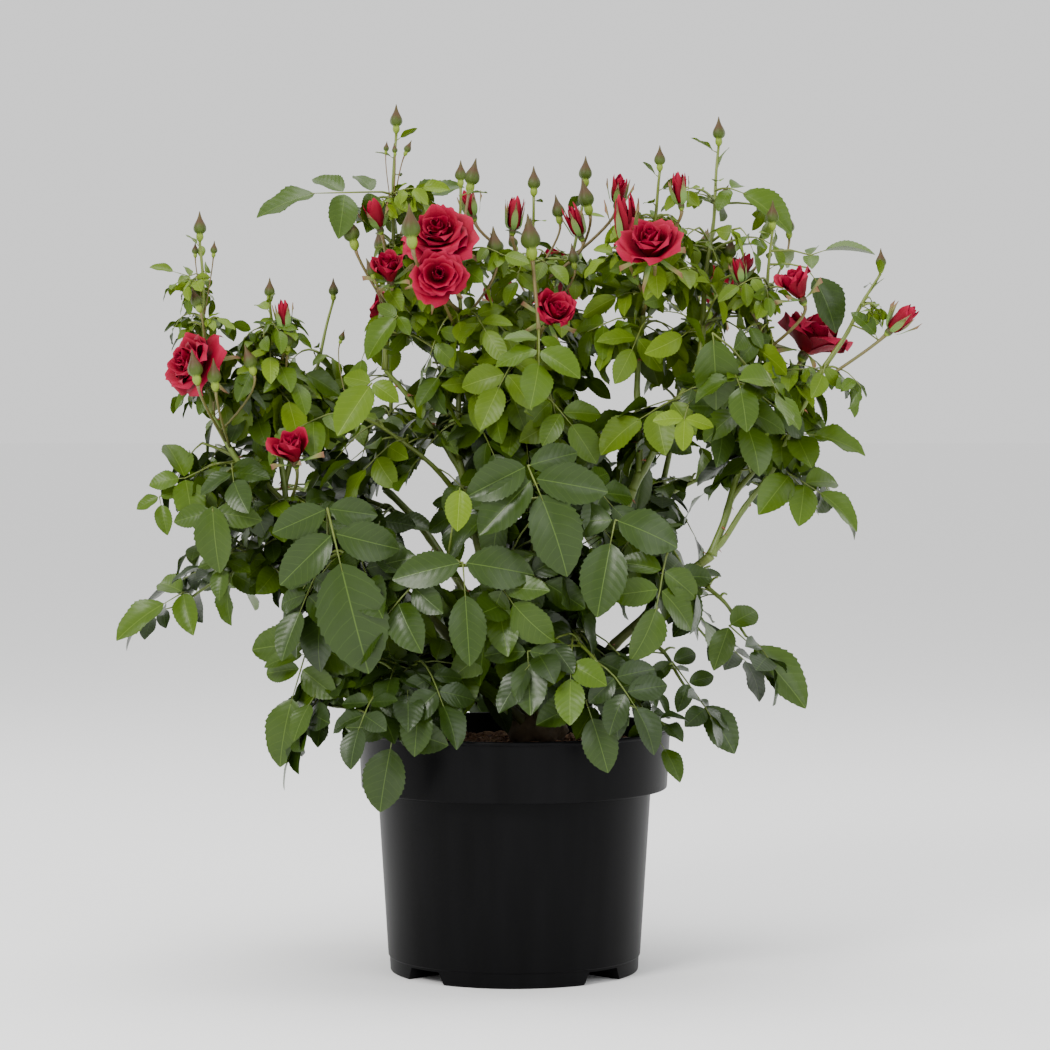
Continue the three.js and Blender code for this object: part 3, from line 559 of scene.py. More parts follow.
def bark(name, low, high, from_height, to_height, roughness):
    """Bark whose colour goes from low to high over a height, mottled, with a fine crumbly bump."""
    material, tree, shader = plain_material(name, low, roughness)
    place = add(tree, "TexCoord", {}, "Object")
    rise = {"From Min": from_height * MM, "From Max": to_height * MM}
    rise["Value"] = add(tree, "SeparateXYZ", {"Vector": place}, "Z")
    mottle = add(tree, "TexNoise", {"Scale": 120, "Detail": 5, "Vector": place}, "Fac")
    stray = maths(tree, "MULTIPLY_ADD", mottle, 0.9, -0.45)
    share = maths(tree, "ADD", add(tree, "MapRange", rise, "Result"), stray)
    browns = ramp(tree, share, [(0, low), (1, high)])
    join(tree, shader, {"Base Color": browns, "Normal": relief(tree, mottle, 0.35, 0.0008)})
    return material


old_bark = bark("old_bark", (0.07, 0.045, 0.025), (0.17, 0.125, 0.06), 188, 222, 0.85)
dress(rootstock(), old_bark, "old_wood", "rootstock")
cane_bark = bark("cane_bark", (0.085, 0.08, 0.02), (0.13, 0.185, 0.025), 190, 400, 0.5)
dress(limb_bark("cane_bark", CANES), cane_bark, "cane", *CANES)
bough_bark = bark("bough_bark", (0.11, 0.16, 0.022), (0.16, 0.225, 0.03), 380, 520, 0.45)
dress(limb_bark("bough_bark", BOUGHS), bough_bark, "bough", *BOUGHS)


def prickles():
    """Each prickle is a hooked cone on an oval foot: its ring shrinks as its line droops to a point."""
    picks = np.random.default_rng(11)
    paths, radii = [], []
    for name, limb in LIMBS.items():
        line = lines[name]
        length = np.linalg.norm(line.tip - line.root)
        count = int(length / PRICKLE["every"])
        share = picks.uniform(0.06, 0.97, count)
        side = picks.uniform(0, 2 * np.pi, count)
        along = line.way(share)
        guide = unit(np.cross(along, [0.3, 0.9, 0.1]))
        out = guide * np.cos(side)[:, None] + np.cross(along, guide) * np.sin(side)[:, None]
        first, last = limb["radius"]
        radius = first + (last - first) * share
        size = picks.uniform(*PRICKLE["size"], count)
        t = np.linspace(0, 1, 5)
        reach = out[:, None] * (radius[:, None] * 0.8 + size[:, None] * t)[..., None]
        droop = -along[:, None] * (size[:, None] * PRICKLE["droop"] * t**2)[..., None]
        paths.append(line.at(share)[:, None] + reach + droop)
        radii.append(np.array(PRICKLE["taper"]) * (size / 4.5)[:, None])
    return tubes("prickles", np.concatenate(paths), np.concatenate(radii), 6)


dress(prickles(), bark("prickle_horn", (0.2, 0.06, 0.03), (0.3, 0.12, 0.05), 200, 520, 0.4), "cane")

# ---------------------------------------------------------------- stems and twigs
# Green wood of this year. One stem carries each spray, and meets its cane or bough at the root. Twigs leave
# it in steps that spread them evenly along it and round it, and the leaf stalks leave the twigs.

FLOWERING = {
    # the limb that its stem springs from and the share along it, its tip, spread, size of leaf, seed
    "left_spire": (("left_outer_bough", 1), (-256, -44, 602), 70, 28, 972),
    "left_bud_spray": (("left_upper_bough", 1), (-198, -58, 552), 95, 42, 657),
    "left_thin_spire": (("left_upper_bough", 0.3), (-152, 40, 556), 85, 36, 958),
    "top_left_spire": (("arching_bough", 1), (-97, -12, 692), 100, 44, 502),
    "crimson_cluster": (("cane_centre_left", 1), (-43, -66, 645), 105, 44, 452),
    "centre_top": (("cane_centre", 1), (16, -20, 640), 110, 42, 533),
    "centre_top_right": (("cane_centre", 0.9), (60, 54, 652), 85, 42, 253),
    "top_right": (("centre_right_bough", 1), (118, -58, 658), 90, 42, 827),
    "right_spire": (("leaning_bough", 1), (170, 20, 684), 120, 42, 908),
    "right_cluster": (("right_upper_bough", 1), (212, -24, 612), 90, 42, 983),
    "right_tip_spray": (("right_outer_bough", 1), (298, -50, 576), 70, 30, 903),
    "back_left_top": (("cane_back_left", 1), (-104, 150, 590), 100, 46, 546),
    "back_top": (("cane_centre", 0.84), (14, 172, 610), 90, 42, 568),
    "back_right_top": (("cane_back_right", 1), (166, 146, 596), 110, 46, 320),
}
LEAFY = {
    "left_fan": (("cane_left", 0.88), (-257, -20, 438), 110, 42, 829),
    "left_low_fan": (("cane_left", 0.7), (-277, -12, 302), 115, 40, 75),
    "left_skirt": (("cane_front_left", 1), (-151, -84, 227), 95, 46, 501),
    "left_shoulder": (("cane_left", 0.5), (-148, -112, 347), 120, 62, 285),
    "left_inner": (("cane_centre_left", 0.78), (-133, -56, 462), 90, 46, 612),
    "left_foot": (("cane_front_left", 0.55), (-107, -132, 243), 115, 48, 691),
    "front_upper": (("cane_centre", 0.78), (20, -84, 530), 120, 54, 591),
    "front_middle": (("cane_front", 1), (44, -128, 419), 110, 60, 166),
    "front_low": (("cane_front", 0.7), (-61, -138, 338), 115, 58, 754),
    "front_foot": (("cane_front", 0.42), (66, -140, 266), 105, 54, 111),
    "right_fan": (("right_upper_bough", 0.45), (231, -28, 442), 110, 42, 367),
    "right_inner": (("leaning_bough", 0.4), (196, -92, 500), 95, 52, 607),
    "right_front": (("cane_centre_right", 0.72), (123, -116, 354), 115, 58, 307),
    "right_hanging": (("cane_right", 0.86), (189, -52, 281), 85, 42, 628),
    "right_low": (("cane_right", 0.5), (143, -54, 234), 85, 36, 856),
    "right_foot": (("cane_right", 0.25), (104, -90, 224), 75, 36, 825),
    "back_left_fan": (("cane_back_left", 0.75), (-240, 124, 390), 115, 56, 852),
    "back_left_low": (("cane_back_left", 0.42), (-145, 142, 242), 100, 54, 118),
    "back_fan": (("cane_centre", 0.6), (-5, 204, 446), 110, 58, 512),
    "back_low": (("cane_back_right", 0.38), (-14, 176, 232), 115, 56, 264),
    "back_right_fan": (("cane_back_right", 0.78), (246, 112, 420), 110, 48, 425),
    "back_right_low": (("cane_back_right", 0.5), (166, 132, 267), 105, 48, 889),
}
HABIT = {
    # whether it bears buds, its stem's arch, and how far up the stem its twigs go
    "flowering": {"buds": True, "arch": 0, "top": 0.88},
    "leafy": {"buds": False, "arch": 0.1, "top": 0.92},
}
SPRAYS = {}
for kind, table in (("flowering", FLOWERING), ("leafy", LEAFY)):
    for name, row in table.items():
        SPRAYS[name] = {**HABIT[kind], **dict(zip(("from", "tip", "spread", "size", "seed"), row))}
TWIGS = {"flowering": 16, "leafy": 7}  # on each stem, the finer ones included
TILT = {"small": 38, "large": 60, "small_size": 30, "large_size": 60, "stray": 15}  # how steeply leaves hang
STEM = {"radius": (2.9, 1.05), "sway": 1.6, "nodes": 5, "swell": 0.12}
TWIG = {"radius": (1.3, 0.9), "bow": 2.2}
LEAN = {"along": 0.65, "outward": 0.35, "scatter": 0.45}  # what a leaf's face leans to
STEPS = {"along": 0.7548776662, "round": 0.5698402910}  # one over the plastic number, and over its square
TWIG_LEAVES = ((1, 0), (0.65, 66), (0, -132), (0.3, -66))  # each leaf's share of its twig, its turn
LEAF_TRIES = (1, 0.78)  # a leaf that has no room is tried once more at the second size
STRAY = 1.1  # how far past its spray's spread a leaf may reach, as a share
CLEAR = {"limb": 7, "pot": 3, "lip": 4}  # how far leaves keep from the wood and from the pot
BLOOM_ROWS = [
    # where its petals spring, its radius, how far it has opened, the bearing and height it faces, its spray
    ((-254, -60, 500), 32, 1, 222, 22, "left_spire"),
    ((-176, -86, 424), 19, 0.5, 250, 60, "left_bud_spray"),
    ((-59, -78, 600), 33, 1, 262, 40, "crimson_cluster"),
    ((-61, -102, 570), 26, 1, 275, 15, "crimson_cluster"),
    ((-100, -56, 570), 18, 0.5, 255, 55, "top_left_spire"),
    ((-110, -34, 614), 13, 0.2, 200, 70, "top_left_spire"),
    ((28, -54, 538), 22, 0.7, 300, 35, "centre_top"),
    ((-34, 0, 626), 11, 0.1, 170, 75, "centre_top"),
    ((86, 40, 638), 12, 0.1, 300, 75, "centre_top_right"),
    ((112, -84, 588), 29, 0.8, 255, 50, "top_right"),
    ((186, 4, 574), 11, 0.1, 0, 65, "right_spire"),
    ((234, -50, 556), 19, 0.5, 200, 65, "right_cluster"),
    ((241, 8, 512), 35, 0.85, 10, 62, "right_cluster"),
    ((305, -62, 530), 15, 0.2, 350, 45, "right_tip_spray"),
    ((-104, 190, 552), 25, 1, 120, 35, "back_left_top"),
    ((36, 204, 580), 29, 1, 80, 35, "back_top"),
    ((-10, 196, 552), 19, 0.5, 110, 60, "back_top"),
    ((176, 178, 560), 27, 0.8, 60, 40, "back_right_top"),
]
BLOOMS = [dict(zip(("at", "radius", "open", "bearing", "height", "spray"), row)) for row in BLOOM_ROWS]


class Dice:
    """A repeatable source of random numbers: a 32-bit linear congruential generator."""

    def __init__(self, seed):
        self.state = (seed * 2654435761) & 0xFFFFFFFF
        self.between(0, 1)

    def between(self, low, high):
        """The next number, between low and high."""
        self.state = (self.state * 1664525 + 1013904223) & 0xFFFFFFFF
        return low + (high - low) * self.state / 4294967296


def fraction(value):
    """What is left of a number past its whole part."""
    return value - np.floor(value)


def leaf_site(at, bearing, outward, spray, share, dice):
    """A leaf's place: its root, the way it points, and the way it faces, which leans out by the tilt."""
    grown = (spray["size"] - TILT["small_size"]) / (TILT["large_size"] - TILT["small_size"])
    tilt = TILT["small"] + (TILT["large"] - TILT["small"]) * grown
    tilt = np.radians(tilt + dice.between(-TILT["stray"], TILT["stray"]))
    lean = LEAN["along"] * heading(bearing, 0) + LEAN["outward"] * heading(outward, 0)
    face = UP * np.cos(tilt) + lean * np.sin(tilt)
    scattered = heading(dice.between(0, 2 * np.pi), 0)
    face = unit(face + scattered * dice.between(0, LEAN["scatter"]))
    way = heading(bearing, 0)
    way = unit(way - face * way.dot(face))
    size = spray["size"] * dice.between(0.85, 1.15) * (1.15 - 0.5 * share if spray["buds"] else 1)
    return {"at": at, "way": way, "face": face, "size": size, "share": share}


def twig_sites(spray, stem, twigs):
    """The twigs of a spray, each with the leaves it bears: at its tip, on its sides and at its foot."""
    dice = Dice(spray["seed"])
    away = np.array(spray["tip"][:2]) - (STOCK["x"], STOCK["y"])
    outward = np.arctan2(away[1], away[0]) % (2 * np.pi)
    fan = np.pi * (1 - 0.35 * min(1, np.hypot(*away) / 200))
    sites = []
    if not spray["buds"]:
        end = stem.way(1)
        leaf = leaf_site(stem.at(1), np.arctan2(end[1], end[0]), outward, spray, 0, dice)
        sites.append({"leaves": [leaf]})
    for i in range(twigs):
        share = fraction(0.5 + STEPS["along"] * i)
        bearing = outward + fan * (2 * fraction(0.5 + STEPS["round"] * i) - 1)
        root = stem.at(0.12 + (spray["top"] - 0.12) * share)
        length = max(14, spray["spread"] - 1.9 * spray["size"]) * dice.between(0.7, 1.1)
        tip = root + heading(bearing, np.radians(dice.between(0, 40))) * length
        side = 1 if i % 2 else -1
        leaves = []
        for along, turn in TWIG_LEAVES:
            away_from = bearing + np.radians(turn) * side + dice.between(-0.35, 0.35)
            leaves.append(leaf_site(root + (tip - root) * along, away_from, outward, spray, share, dice))
        sites.append({"root": root, "tip": tip, "leaves": leaves})
    return sites


def hub_of(leaf):
    """Where a leaf's lowest pair of leaflets stands: just under half a size from its root, risen a little."""
    return leaf["at"] + 0.45 * leaf["size"] * unit(leaf["way"] + 0.35 * UP)


def room_for(leaf, spray, stem):
    """Whether a leaf keeps to its spray's reach and clear of limbs, blooms, pot and compost."""
    hub = hub_of(leaf)
    end = hub + leaf["way"] * 1.4 * leaf["size"]
    span = stem.tip - stem.root
    near = stem.root + span * np.clip((end - stem.root).dot(span) / span.dot(span), 0, 1)
    if np.linalg.norm(end - near) > STRAY * spray["spread"]:
        return False
    side = np.cross(leaf["face"], leaf["way"]) * 0.7 * leaf["size"]
    spots = np.stack([hub, hub + side, hub - side, 0.5 * (hub + end), end])
    if (np.linalg.norm(limb_spots[:, None] - spots[1:], axis=-1) < CLEAR["limb"]).any():
        return False
    if (np.linalg.norm(bloom_spots[:, None, :3] - spots, axis=-1) < bloom_spots[:, 3:]).any():
        return False
    out = np.hypot(spots[:, 0], spots[:, 1])
    low = spots[:, 2] < POT["height"] + CLEAR["pot"]
    return not (low & (out < POT["lip"] + CLEAR["lip"])).any()


def column(rows, entry):
    """One entry of every row, as an array."""
    return np.array([row[entry] for row in rows], float)


stems = {}
for name, spray in SPRAYS.items():
    limb, share = spray["from"]
    stems[name] = Centreline(lines[limb].at(share), spray["tip"], spray["arch"])
limb_spots = np.concatenate([line.at(np.linspace(0.1, 0.95, 40)) for line in lines.values()])
bloom_spots = np.column_stack([column(BLOOMS, "at"), column(BLOOMS, "radius")])
bloom_ways = heading(np.radians(column(BLOOMS, "bearing")), np.radians(column(BLOOMS, "height")))
bloom_spots[:, :3] += bloom_ways * 0.6 * bloom_spots[:, 3:]

leaves, twigs = [], []
for name, spray in SPRAYS.items():
    kind = "flowering" if spray["buds"] else "leafy"
    for twig in twig_sites(spray, stems[name], TWIGS[kind]):
        borne_by = {"spray": name, "twig": len(twigs), "ends_stem": "tip" not in twig}
        for leaf in twig["leaves"]:
            sizes = [{**leaf, **borne_by, "size": leaf["size"] * share} for share in LEAF_TRIES]
            leaves += [sized for sized in sizes if room_for(sized, spray, stems[name])][:1]
        twigs.append((twig["root"], twig["tip"]) if "tip" in twig else (leaf["at"], leaf["at"]))


def stem_tubes():
    """Each stem tapers from root to tip along its line, with a slight zigzag from twig to twig."""
    t = np.linspace(0, 1, 25)
    paths = np.stack([stem.at(t) for stem in stems.values()])
    kink = np.arange(len(stems))[:, None]
    sway = np.stack([np.sin(9 * t + kink), np.cos(11 * t + 2 * kink), 0 * t + 0 * kink], -1)
    paths = paths + STEM["sway"] * sway * np.sin(np.pi * t)[:, None]
    node = 1 + STEM["swell"] * np.cos(2 * np.pi * t * STEM["nodes"]) ** 8
    thick, thin = STEM["radius"]
    radii = (thick + (thin - thick) * t**0.6) * node
    return tubes("green_stems", paths, np.broadcast_to(radii, (len(stems), 25)), 8)


stem_green = bark("stem_green", (0.075, 0.115, 0.01), (0.13, 0.17, 0.018), 200, 640, 0.45)
dress(stem_tubes(), stem_green, "foliage", *SPRAYS)

# ---------------------------------------------------------------- leaves
# A rose's leaf is a stalk with an end leaflet and one or two pairs beside it. Each leaflet is a thin oval
# blade, folded along its midrib and toothed round its edge, deep green and glossy when it is old, paler and
# yellower when it is young. Each leaf has one of six greens by its age, and it is younger the higher it is.
# The paler, yellower greens high up are also a painted glow: they stand in for light shining through the
# leaves.

LEAF = {"petiole": 0.42, "gap": 0.32, "shank": 0.27, "end": 0.9, "pair": (0.66, 0.8), "turn": (80, 64)}
BLADE = {"segments": 6, "width": 0.63, "widths": (0.9, 1.12), "fold": (0.05, 0.42), "bend": (0.15, 0.85)}
BLADE.update({"wave": (0.02, 0.16), "foot": 0.045})
# How leaflets stray: their turn in degrees, their roll and pitch in radians, and the shares of roll and pitch
# that leaves set one by one and leaves in flower have.
POISE = {"turn": 7, "roll": 0.22, "pitch": (0.12, 0.16), "placed": 0.4, "in_flower": 2.1}
SLIM = {"in_flower": 0.84, "placed": 0.92}
# A leaf's stalk: its radius at six steps where the end leaflet has the length "for", its bow upwards, and how
# far it runs on into the blade, both as shares of a length.
STALK = {"radius": (1.15, 0.85, 0.75, 0.65, 0.55, 0.3), "for": 45, "bow": 0.06, "into": 0.12}
THREE_LEAFLETS = 0.45  # the share of a flowering stem's leaves that have only one pair
FINER = {"leafy": 0.84, "flowering": 0.82}  # leaves against those of the solids, which are fewer
BRACTS = {"each": 5, "from": 0.66, "to": 0.97, "length": (11, 24)}
# Greens rise with height: by the leaves' age, and by a painted glow of light shining through the upper
# leaves.
AGE_AND_GLOW = {"foot": 215, "over": 480, "upper": 0.12, "stray": 0.19}
# The front eye looks through a grid that stands on the plane y = 0. Its columns and lines are one step apart,
# the pot's axis is at the column "middle", and the floor is at the line "ground".
FRONT = {"eye": (8.9, -2848, 479), "step": 0.83, "middle": 514.3, "ground": 970.3}
SINGLES = [
    # leaves set one by one: the first pair's joint and the end leaflet's tip, both as column, line and depth;
    # the lengths of first pair, second pair and end leaflet; the bearing and height it faces; its green
    ((183, 592, -40), (113, 634, -50), (38, 0, 50), (265, 50), 3),
    ((328, 508, -140), (366, 672, -160), (42, 54, 92), (265, 22), 1),
    ((729, 626, -60), (812, 700, -75), (38, 0, 66), (284, 34), 2),
    ((672, 578, -75), (698, 624, -90), (36, 0, 38), (278, 24), 1),
    ((790, 474, -50), (865, 521, -60), (46, 40, 45), (285, 45), 3),
    ((672, 662, -50), (738, 750, -70), (24, 26, 46), (282, 30), 1),
    ((650, 727, -70), (682, 775, -110), (22, 0, 32), (285, 30), 2),
    ((395, 728, -118), (378, 813, -128), (40, 0, 54), (262, 15), 1),
    ((586, 700, -135), (609, 771, -152), (40, 0, 46), (275, 18), 1),
    ((309, 642, -90), (272, 766, -110), (48, 36, 58), (255, 25), 2),
    ((463, 562, -150), (470, 662, -170), (58, 0, 56), (270, 30), 1),
    ((615, 520, -140), (597, 612, -165), (56, 0, 60), (272, 28), 1),
    ((528, 466, -150), (574, 572, -172), (50, 58, 70), (268, 35), 1),
    ((528, 652, -140), (530, 712, -165), (36, 0, 45), (270, 35), 1),
    ((372, 193, -20), (256, 196, -50), (34, 42, 52), (262, 40), 2),
    ((400, 208, 30), (460, 178, 30), (0, 0, 48), (250, 35), 2),
    ((730, 189, 0), (798, 215, -20), (26, 0, 54), (250, 62), 3),
    ((810, 256, 0), (870, 236, -10), (20, 0, 42), (250, 70), 3),
    ((392, 222, 0), (340, 211, -20), (0, 0, 42), (230, 45), 2),
    ((190, 277, -20), (152, 266, -25), (15, 0, 20), (255, 50), 4),
    ((186, 478, -60), (150, 480, -70), (42, 0, 26), (250, 35), 3),
    ((213, 512, -90), (214, 572, -100), (36, 0, 56), (262, 28), 2),
    ((372, 383, -90), (338, 432, -110), (26, 0, 50), (262, 30), 4),
    ((712, 333, -110), (722, 404, -130), (0, 0, 58), (265, 25), 2),
    ((460, 488, -160), (457, 528, -172), (0, 0, 33), (270, 25), 5),
    ((684, 418, -130), (683, 448, -140), (24, 0, 26), (275, 30), 5),
    ((398, 316, -70), (362, 352, -80), (20, 0, 42), (255, 35), 3),
    ((780, 432, -30), (868, 440, -40), (40, 44, 48), (285, 55), 3),
    ((420, 690, -125), (413, 752, -150), (34, 0, 42), (268, 22), 1),
    ((806, 268, -20), (846, 322, -40), (0, 0, 50), (265, 15), 1),
    ((877, 340, -60), (862, 306, -66), (0, 0, 28), (275, 25), 2),
    ((160, 497, -60), (166, 532, -75), (22, 0, 26), (262, 30), 3),
    ((330, 655, -90), (262, 655, -100), (30, 0, 34), (262, 35), 2),
]
BACK_SINGLES = [
    # two more at the back, with their joints and tips in millimetres
    ((12, 214, 398), (18, 266, 368), (38, 0, 50), (88, 35), 2),
    ((58, 188, 384), (80, 246, 346), (34, 0, 48), (72, 32), 2),
]
OPENINGS = [
    # gaps that run through the crown from front to back: column, line, half the width and half the height
    (290, 470, 16, 27), (388, 392, 21, 18), (412, 366, 13, 22), (437, 468, 21, 22),
    (357, 452, 12, 12), (395, 502, 16, 13), (425, 548, 20, 10), (470, 550, 10, 8),
    (517, 508, 10, 11), (536, 546, 13, 8), (592, 541, 14, 8), (465, 583, 16, 7),
    (425, 598, 16, 6), (676, 465, 22, 15), (672, 320, 14, 12), (612, 318, 9, 11),
    (650, 326, 9, 12), (622, 396, 13, 13), (668, 396, 12, 11), (583, 396, 9, 8),
    (557, 345, 12, 11), (612, 630, 18, 22), (650, 650, 14, 17), (678, 652, 11, 17),
    (688, 545, 14, 16), (722, 520, 16, 30), (712, 602, 10, 16), (342, 712, 11, 18),
    (325, 647, 11, 7), (730, 335, 7, 22), (810, 575, 70, 44), (745, 590, 14, 20),
    (338, 288, 34, 46), (345, 345, 26, 18), (220, 668, 44, 34), (790, 740, 74, 36),
    (722, 680, 18, 14), (560, 232, 12, 20), (700, 222, 14, 18), (852, 300, 20, 16),
    (704, 724, 34, 22), (752, 612, 34, 40), (738, 216, 16, 12), (812, 468, 16, 22),
    (768, 514, 34, 12), (372, 296, 14, 22), (672, 690, 16, 10), (692, 650, 20, 14),
    (612, 604, 10, 8), (640, 745, 20, 10), (870, 360, 34, 26), (233, 290, 22, 24),
    (306, 360, 12, 16),
]
BARED = {"share": 0.85, "before": 30}  # of a bloom's radius, and the depth that a bloom has to stand before
TRIM = {"small": 18, "small_by": 5, "large": 28, "by": 4, "least": 4}  # steps that an opening is narrowed by
picks = np.random.default_rng(23)


def blade_template():
    """The blade's points as (share of length, share of half width) and its faces: five lines of points
    along the blade, and two teeth a side for each of its segments."""
    count = BLADE["segments"]
    rows = np.linspace(0, 1, count + 1)
    spots = [(row, 0.0) for row in rows]
    faces = []
    lines_at = {}
    for side in (-1, 1):
        lines_at[side, "middle"] = len(spots)
        spots += [(row, 0.52 * side) for row in rows[1:-1]]
        lines_at[side, "edge"] = len(spots)
        spots += [(row, 0.96 * side) for row in rows[1:-1]]
        lines_at[side, "teeth"] = len(spots)
        for start, stop in zip(rows[:-1], rows[1:]):
            for share, across in ((0.4, 1.03), (0.5, 0.965), (0.9, 1.03)):
                spots.append((start + share * (stop - start), across * side))
    for side in (-1, 1):
        middle, edge, teeth = (lines_at[side, part] for part in ("middle", "edge", "teeth"))
        for k in range(count):
            inner = [k, k + 1] + ([middle + k] if k < count - 1 else []) + ([middle + k - 1] if k else [])
            tooth = [teeth + 3 * k + 2, teeth + 3 * k + 1, teeth + 3 * k]
            upper = [middle + k, edge + k] if k < count - 1 else [count]
            lower = [edge + k - 1, middle + k - 1] if k else [0]
            outer = upper + tooth + lower
            faces += [inner, outer] if side > 0 else [inner[::-1], outer[::-1]]
    return np.array(spots), faces


def half_width(share):
    """A leaflet's half width by the share of its length: share^0.7 (1 - share)^0.8, most at 0.47, as 1."""
    peak = 0.467**0.7 * 0.533**0.8
    return share**0.7 * (1 - share) ** 0.8 / peak


def place_blades(foot, way, face, length, width, fold, bend, wave):
    """Every leaflet's points at once. A blade runs along way from its foot and bends down evenly, so that a
    share s stands sin(bend s)/bend out and (1 - cos(bend s))/bend down; its halves rise by the fold, and its
    edge ripples by the wave."""
    share, across = blade_spots[:, 0], blade_spots[:, 1]
    half = half_width(np.clip(share, 0, 1)) * 0.5 * BLADE["width"]
    side = half * across * width[:, None]
    turn = bend[:, None] * share
    out = np.sin(turn) / bend[:, None]
    down = (1 - np.cos(turn)) / bend[:, None]
    ripple_at = np.sin(11 * share + 3 * across + 7 * wave[:, None]) * wave[:, None] * across**2 * half
    lift = fold[:, None] * np.abs(side) - down + ripple_at
    beside = np.cross(face, way)
    scale = length[:, None, None]
    return foot[:, None] + scale * (
        out[..., None] * way[:, None] + side[..., None] * beside[:, None] + lift[..., None] * face[:, None]
    )


def spin(vectors, axes, angles):
    """Vectors turned about unit axes by angles, by Rodrigues' formula."""
    cos, sin = np.cos(angles)[:, None], np.sin(angles)[:, None]
    along = (axes * vectors).sum(-1, keepdims=True)
    return vectors * cos + np.cross(axes, vectors) * sin + axes * along * (1 - cos)


blade_spots, blade_faces = blade_template()
blade_corners = np.concatenate([np.array(face) for face in blade_faces])
blade_sizes = np.array([len(face) for face in blade_faces])
blade_side = 0.5 * BLADE["width"] * half_width(blade_spots[:, 0]) * blade_spots[:, 1]
blade_uv = np.stack([0.5 + blade_side, blade_spots[:, 0]], -1)


def seen_at(spots):
    """Places in whole millimetres from the column, line and depth y at which the front eye sees them. The
    grid's spot is drawn away from the eye's own line by the share (y - eye) / -eye of their depths."""
    column, line, depth = np.array(spots, float).T
    eye_x, eye_y, eye_z = FRONT["eye"]
    share = (depth - eye_y) / -eye_y
    x = eye_x + ((column - FRONT["middle"]) * FRONT["step"] - eye_x) * share
    z = eye_z + ((FRONT["ground"] - line) * FRONT["step"] - eye_z) * share
    return np.stack([np.round(x), depth, np.round(z)], -1)


def from_front(points):
    """Where the front eye sees points on the plane y = 0: their x and their z there."""
    eye_x, eye_y, eye_z = FRONT["eye"]
    share = eye_y / (eye_y - points[..., 1])
    return eye_x + (points[..., 0] - eye_x) * share, eye_z + (points[..., 2] - eye_z) * share


def nearest(spots, below):
    """For each spot, the nearest point of any stem, cane or bough that is at least so far below it."""
    wood = [*stems.values(), *lines.values()]
    on = np.concatenate([line.at(np.linspace(0.05, 1, 60)) for line in wood])
    away = np.linalg.norm(spots[:, None] - on, axis=-1)
    away += 1000 * (on[:, 2] > spots[:, 2, None] - below)
    return on[away.argmin(1)]


at, way, face, upper = [column(leaves, entry) for entry in ("at", "way", "face", "share")]
flowering = np.array([SPRAYS[leaf["spray"]]["buds"] for leaf in leaves])
size = column(leaves, "size") * np.where(flowering, FINER["flowering"], FINER["leafy"])
pairs = np.where(flowering & (picks.uniform(size=len(leaves)) < THREE_LEAFLETS), 1, 2)
hub = at + (LEAF["petiole"] * size)[:, None] * unit(way + 0.35 * UP)
second = hub + (LEAF["gap"] * size * (pairs > 1))[:, None] * way
end_foot = second + (LEAF["shank"] * size)[:, None] * way - face * (0.03 * size)[:, None]
pair_length = np.stack([LEAF["pair"][0] * size, LEAF["pair"][1] * size * (pairs > 1)], -1)
end_length = LEAF["end"] * size

single_hub, single_tip = [
    np.concatenate([seen_at(column(SINGLES, end)), column(BACK_SINGLES, end)]) for end in (0, 1)
]
single_length = column(SINGLES + BACK_SINGLES, 2)
single_way = unit(single_tip - single_hub)
single_face = heading(*np.radians(column(SINGLES + BACK_SINGLES, 3)).T)
single_face = unit(single_face - single_way * (single_face * single_way).sum(-1, keepdims=True))
single_end = single_tip - single_way * single_length[:, 2:]
middle = np.where(single_length[:, 1:2] > 0, 0.5, 0)
singles = slice(len(leaves), len(leaves) + len(single_hub))

bract_shares = np.linspace(BRACTS["from"], BRACTS["to"], BRACTS["each"])
bract_at = np.concatenate([stems[name].at(bract_shares) for name in FLOWERING])
bract_turn = 2.4 * np.arange(BRACTS["each"]) + 0.7 * np.arange(1, len(FLOWERING) + 1)[:, None]
bract_turn = bract_turn.ravel()
bract_way = heading(bract_turn, picks.uniform(0.2, 0.9, len(bract_turn)))
bract_face = unit(UP - bract_way * bract_way[:, 2:])
bract_length = picks.uniform(*BRACTS["length"], len(bract_turn))
count = singles.stop + len(bract_at)
at = np.concatenate([at, nearest(single_hub, -15), bract_at])
way = np.concatenate([way, single_way, bract_way])
face = np.concatenate([face, single_face, bract_face])
hub = np.concatenate([hub, single_hub, bract_at + bract_way * 2])
second = np.concatenate([second, single_hub + middle * (single_end - single_hub), bract_at + bract_way * 3])
end_foot = np.concatenate([end_foot, single_end, bract_at + bract_way * 4])
pair_length = np.concatenate([pair_length, single_length[:, :2], np.zeros((len(bract_at), 2))])
end_length = np.concatenate([end_length, single_length[:, 2], bract_length])
upper = np.concatenate([upper, np.full(count - len(upper), 0.5)])
flowering = np.concatenate([flowering, single_hub[:, 2] > 480, np.full(len(bract_at), True)])

feet, ways, faces_of, lengths, owner = [end_foot], [way], [face], [end_length], [np.arange(count)]
for pair in range(2):
    chosen = np.flatnonzero(pair_length[:, pair] > 0)
    foot = hub if pair == 0 else second
    for hand in (-1, 1):
        turn = np.radians(LEAF["turn"][pair] + picks.normal(0, POISE["turn"], len(chosen))) * hand
        feet.append(foot[chosen])
        ways.append(spin(way[chosen], face[chosen], turn))
        faces_of.append(face[chosen])
        lengths.append(pair_length[chosen, pair] * picks.uniform(0.9, 1.1, len(chosen)))
        owner.append(chosen)
feet, ways, faces_of = np.concatenate(feet), np.concatenate(ways), np.concatenate(faces_of)
lengths, owner = np.concatenate(lengths), np.concatenate(owner)
blades = len(feet)
placed = (owner >= singles.start) & (owner < singles.stop)
restless = np.where(placed, POISE["placed"], 1) * np.where(flowering[owner], POISE["in_flower"], 1)
faces_of = spin(faces_of, ways, picks.normal(0, POISE["roll"], blades) * restless)
pitch = picks.normal(*POISE["pitch"], blades) * restless
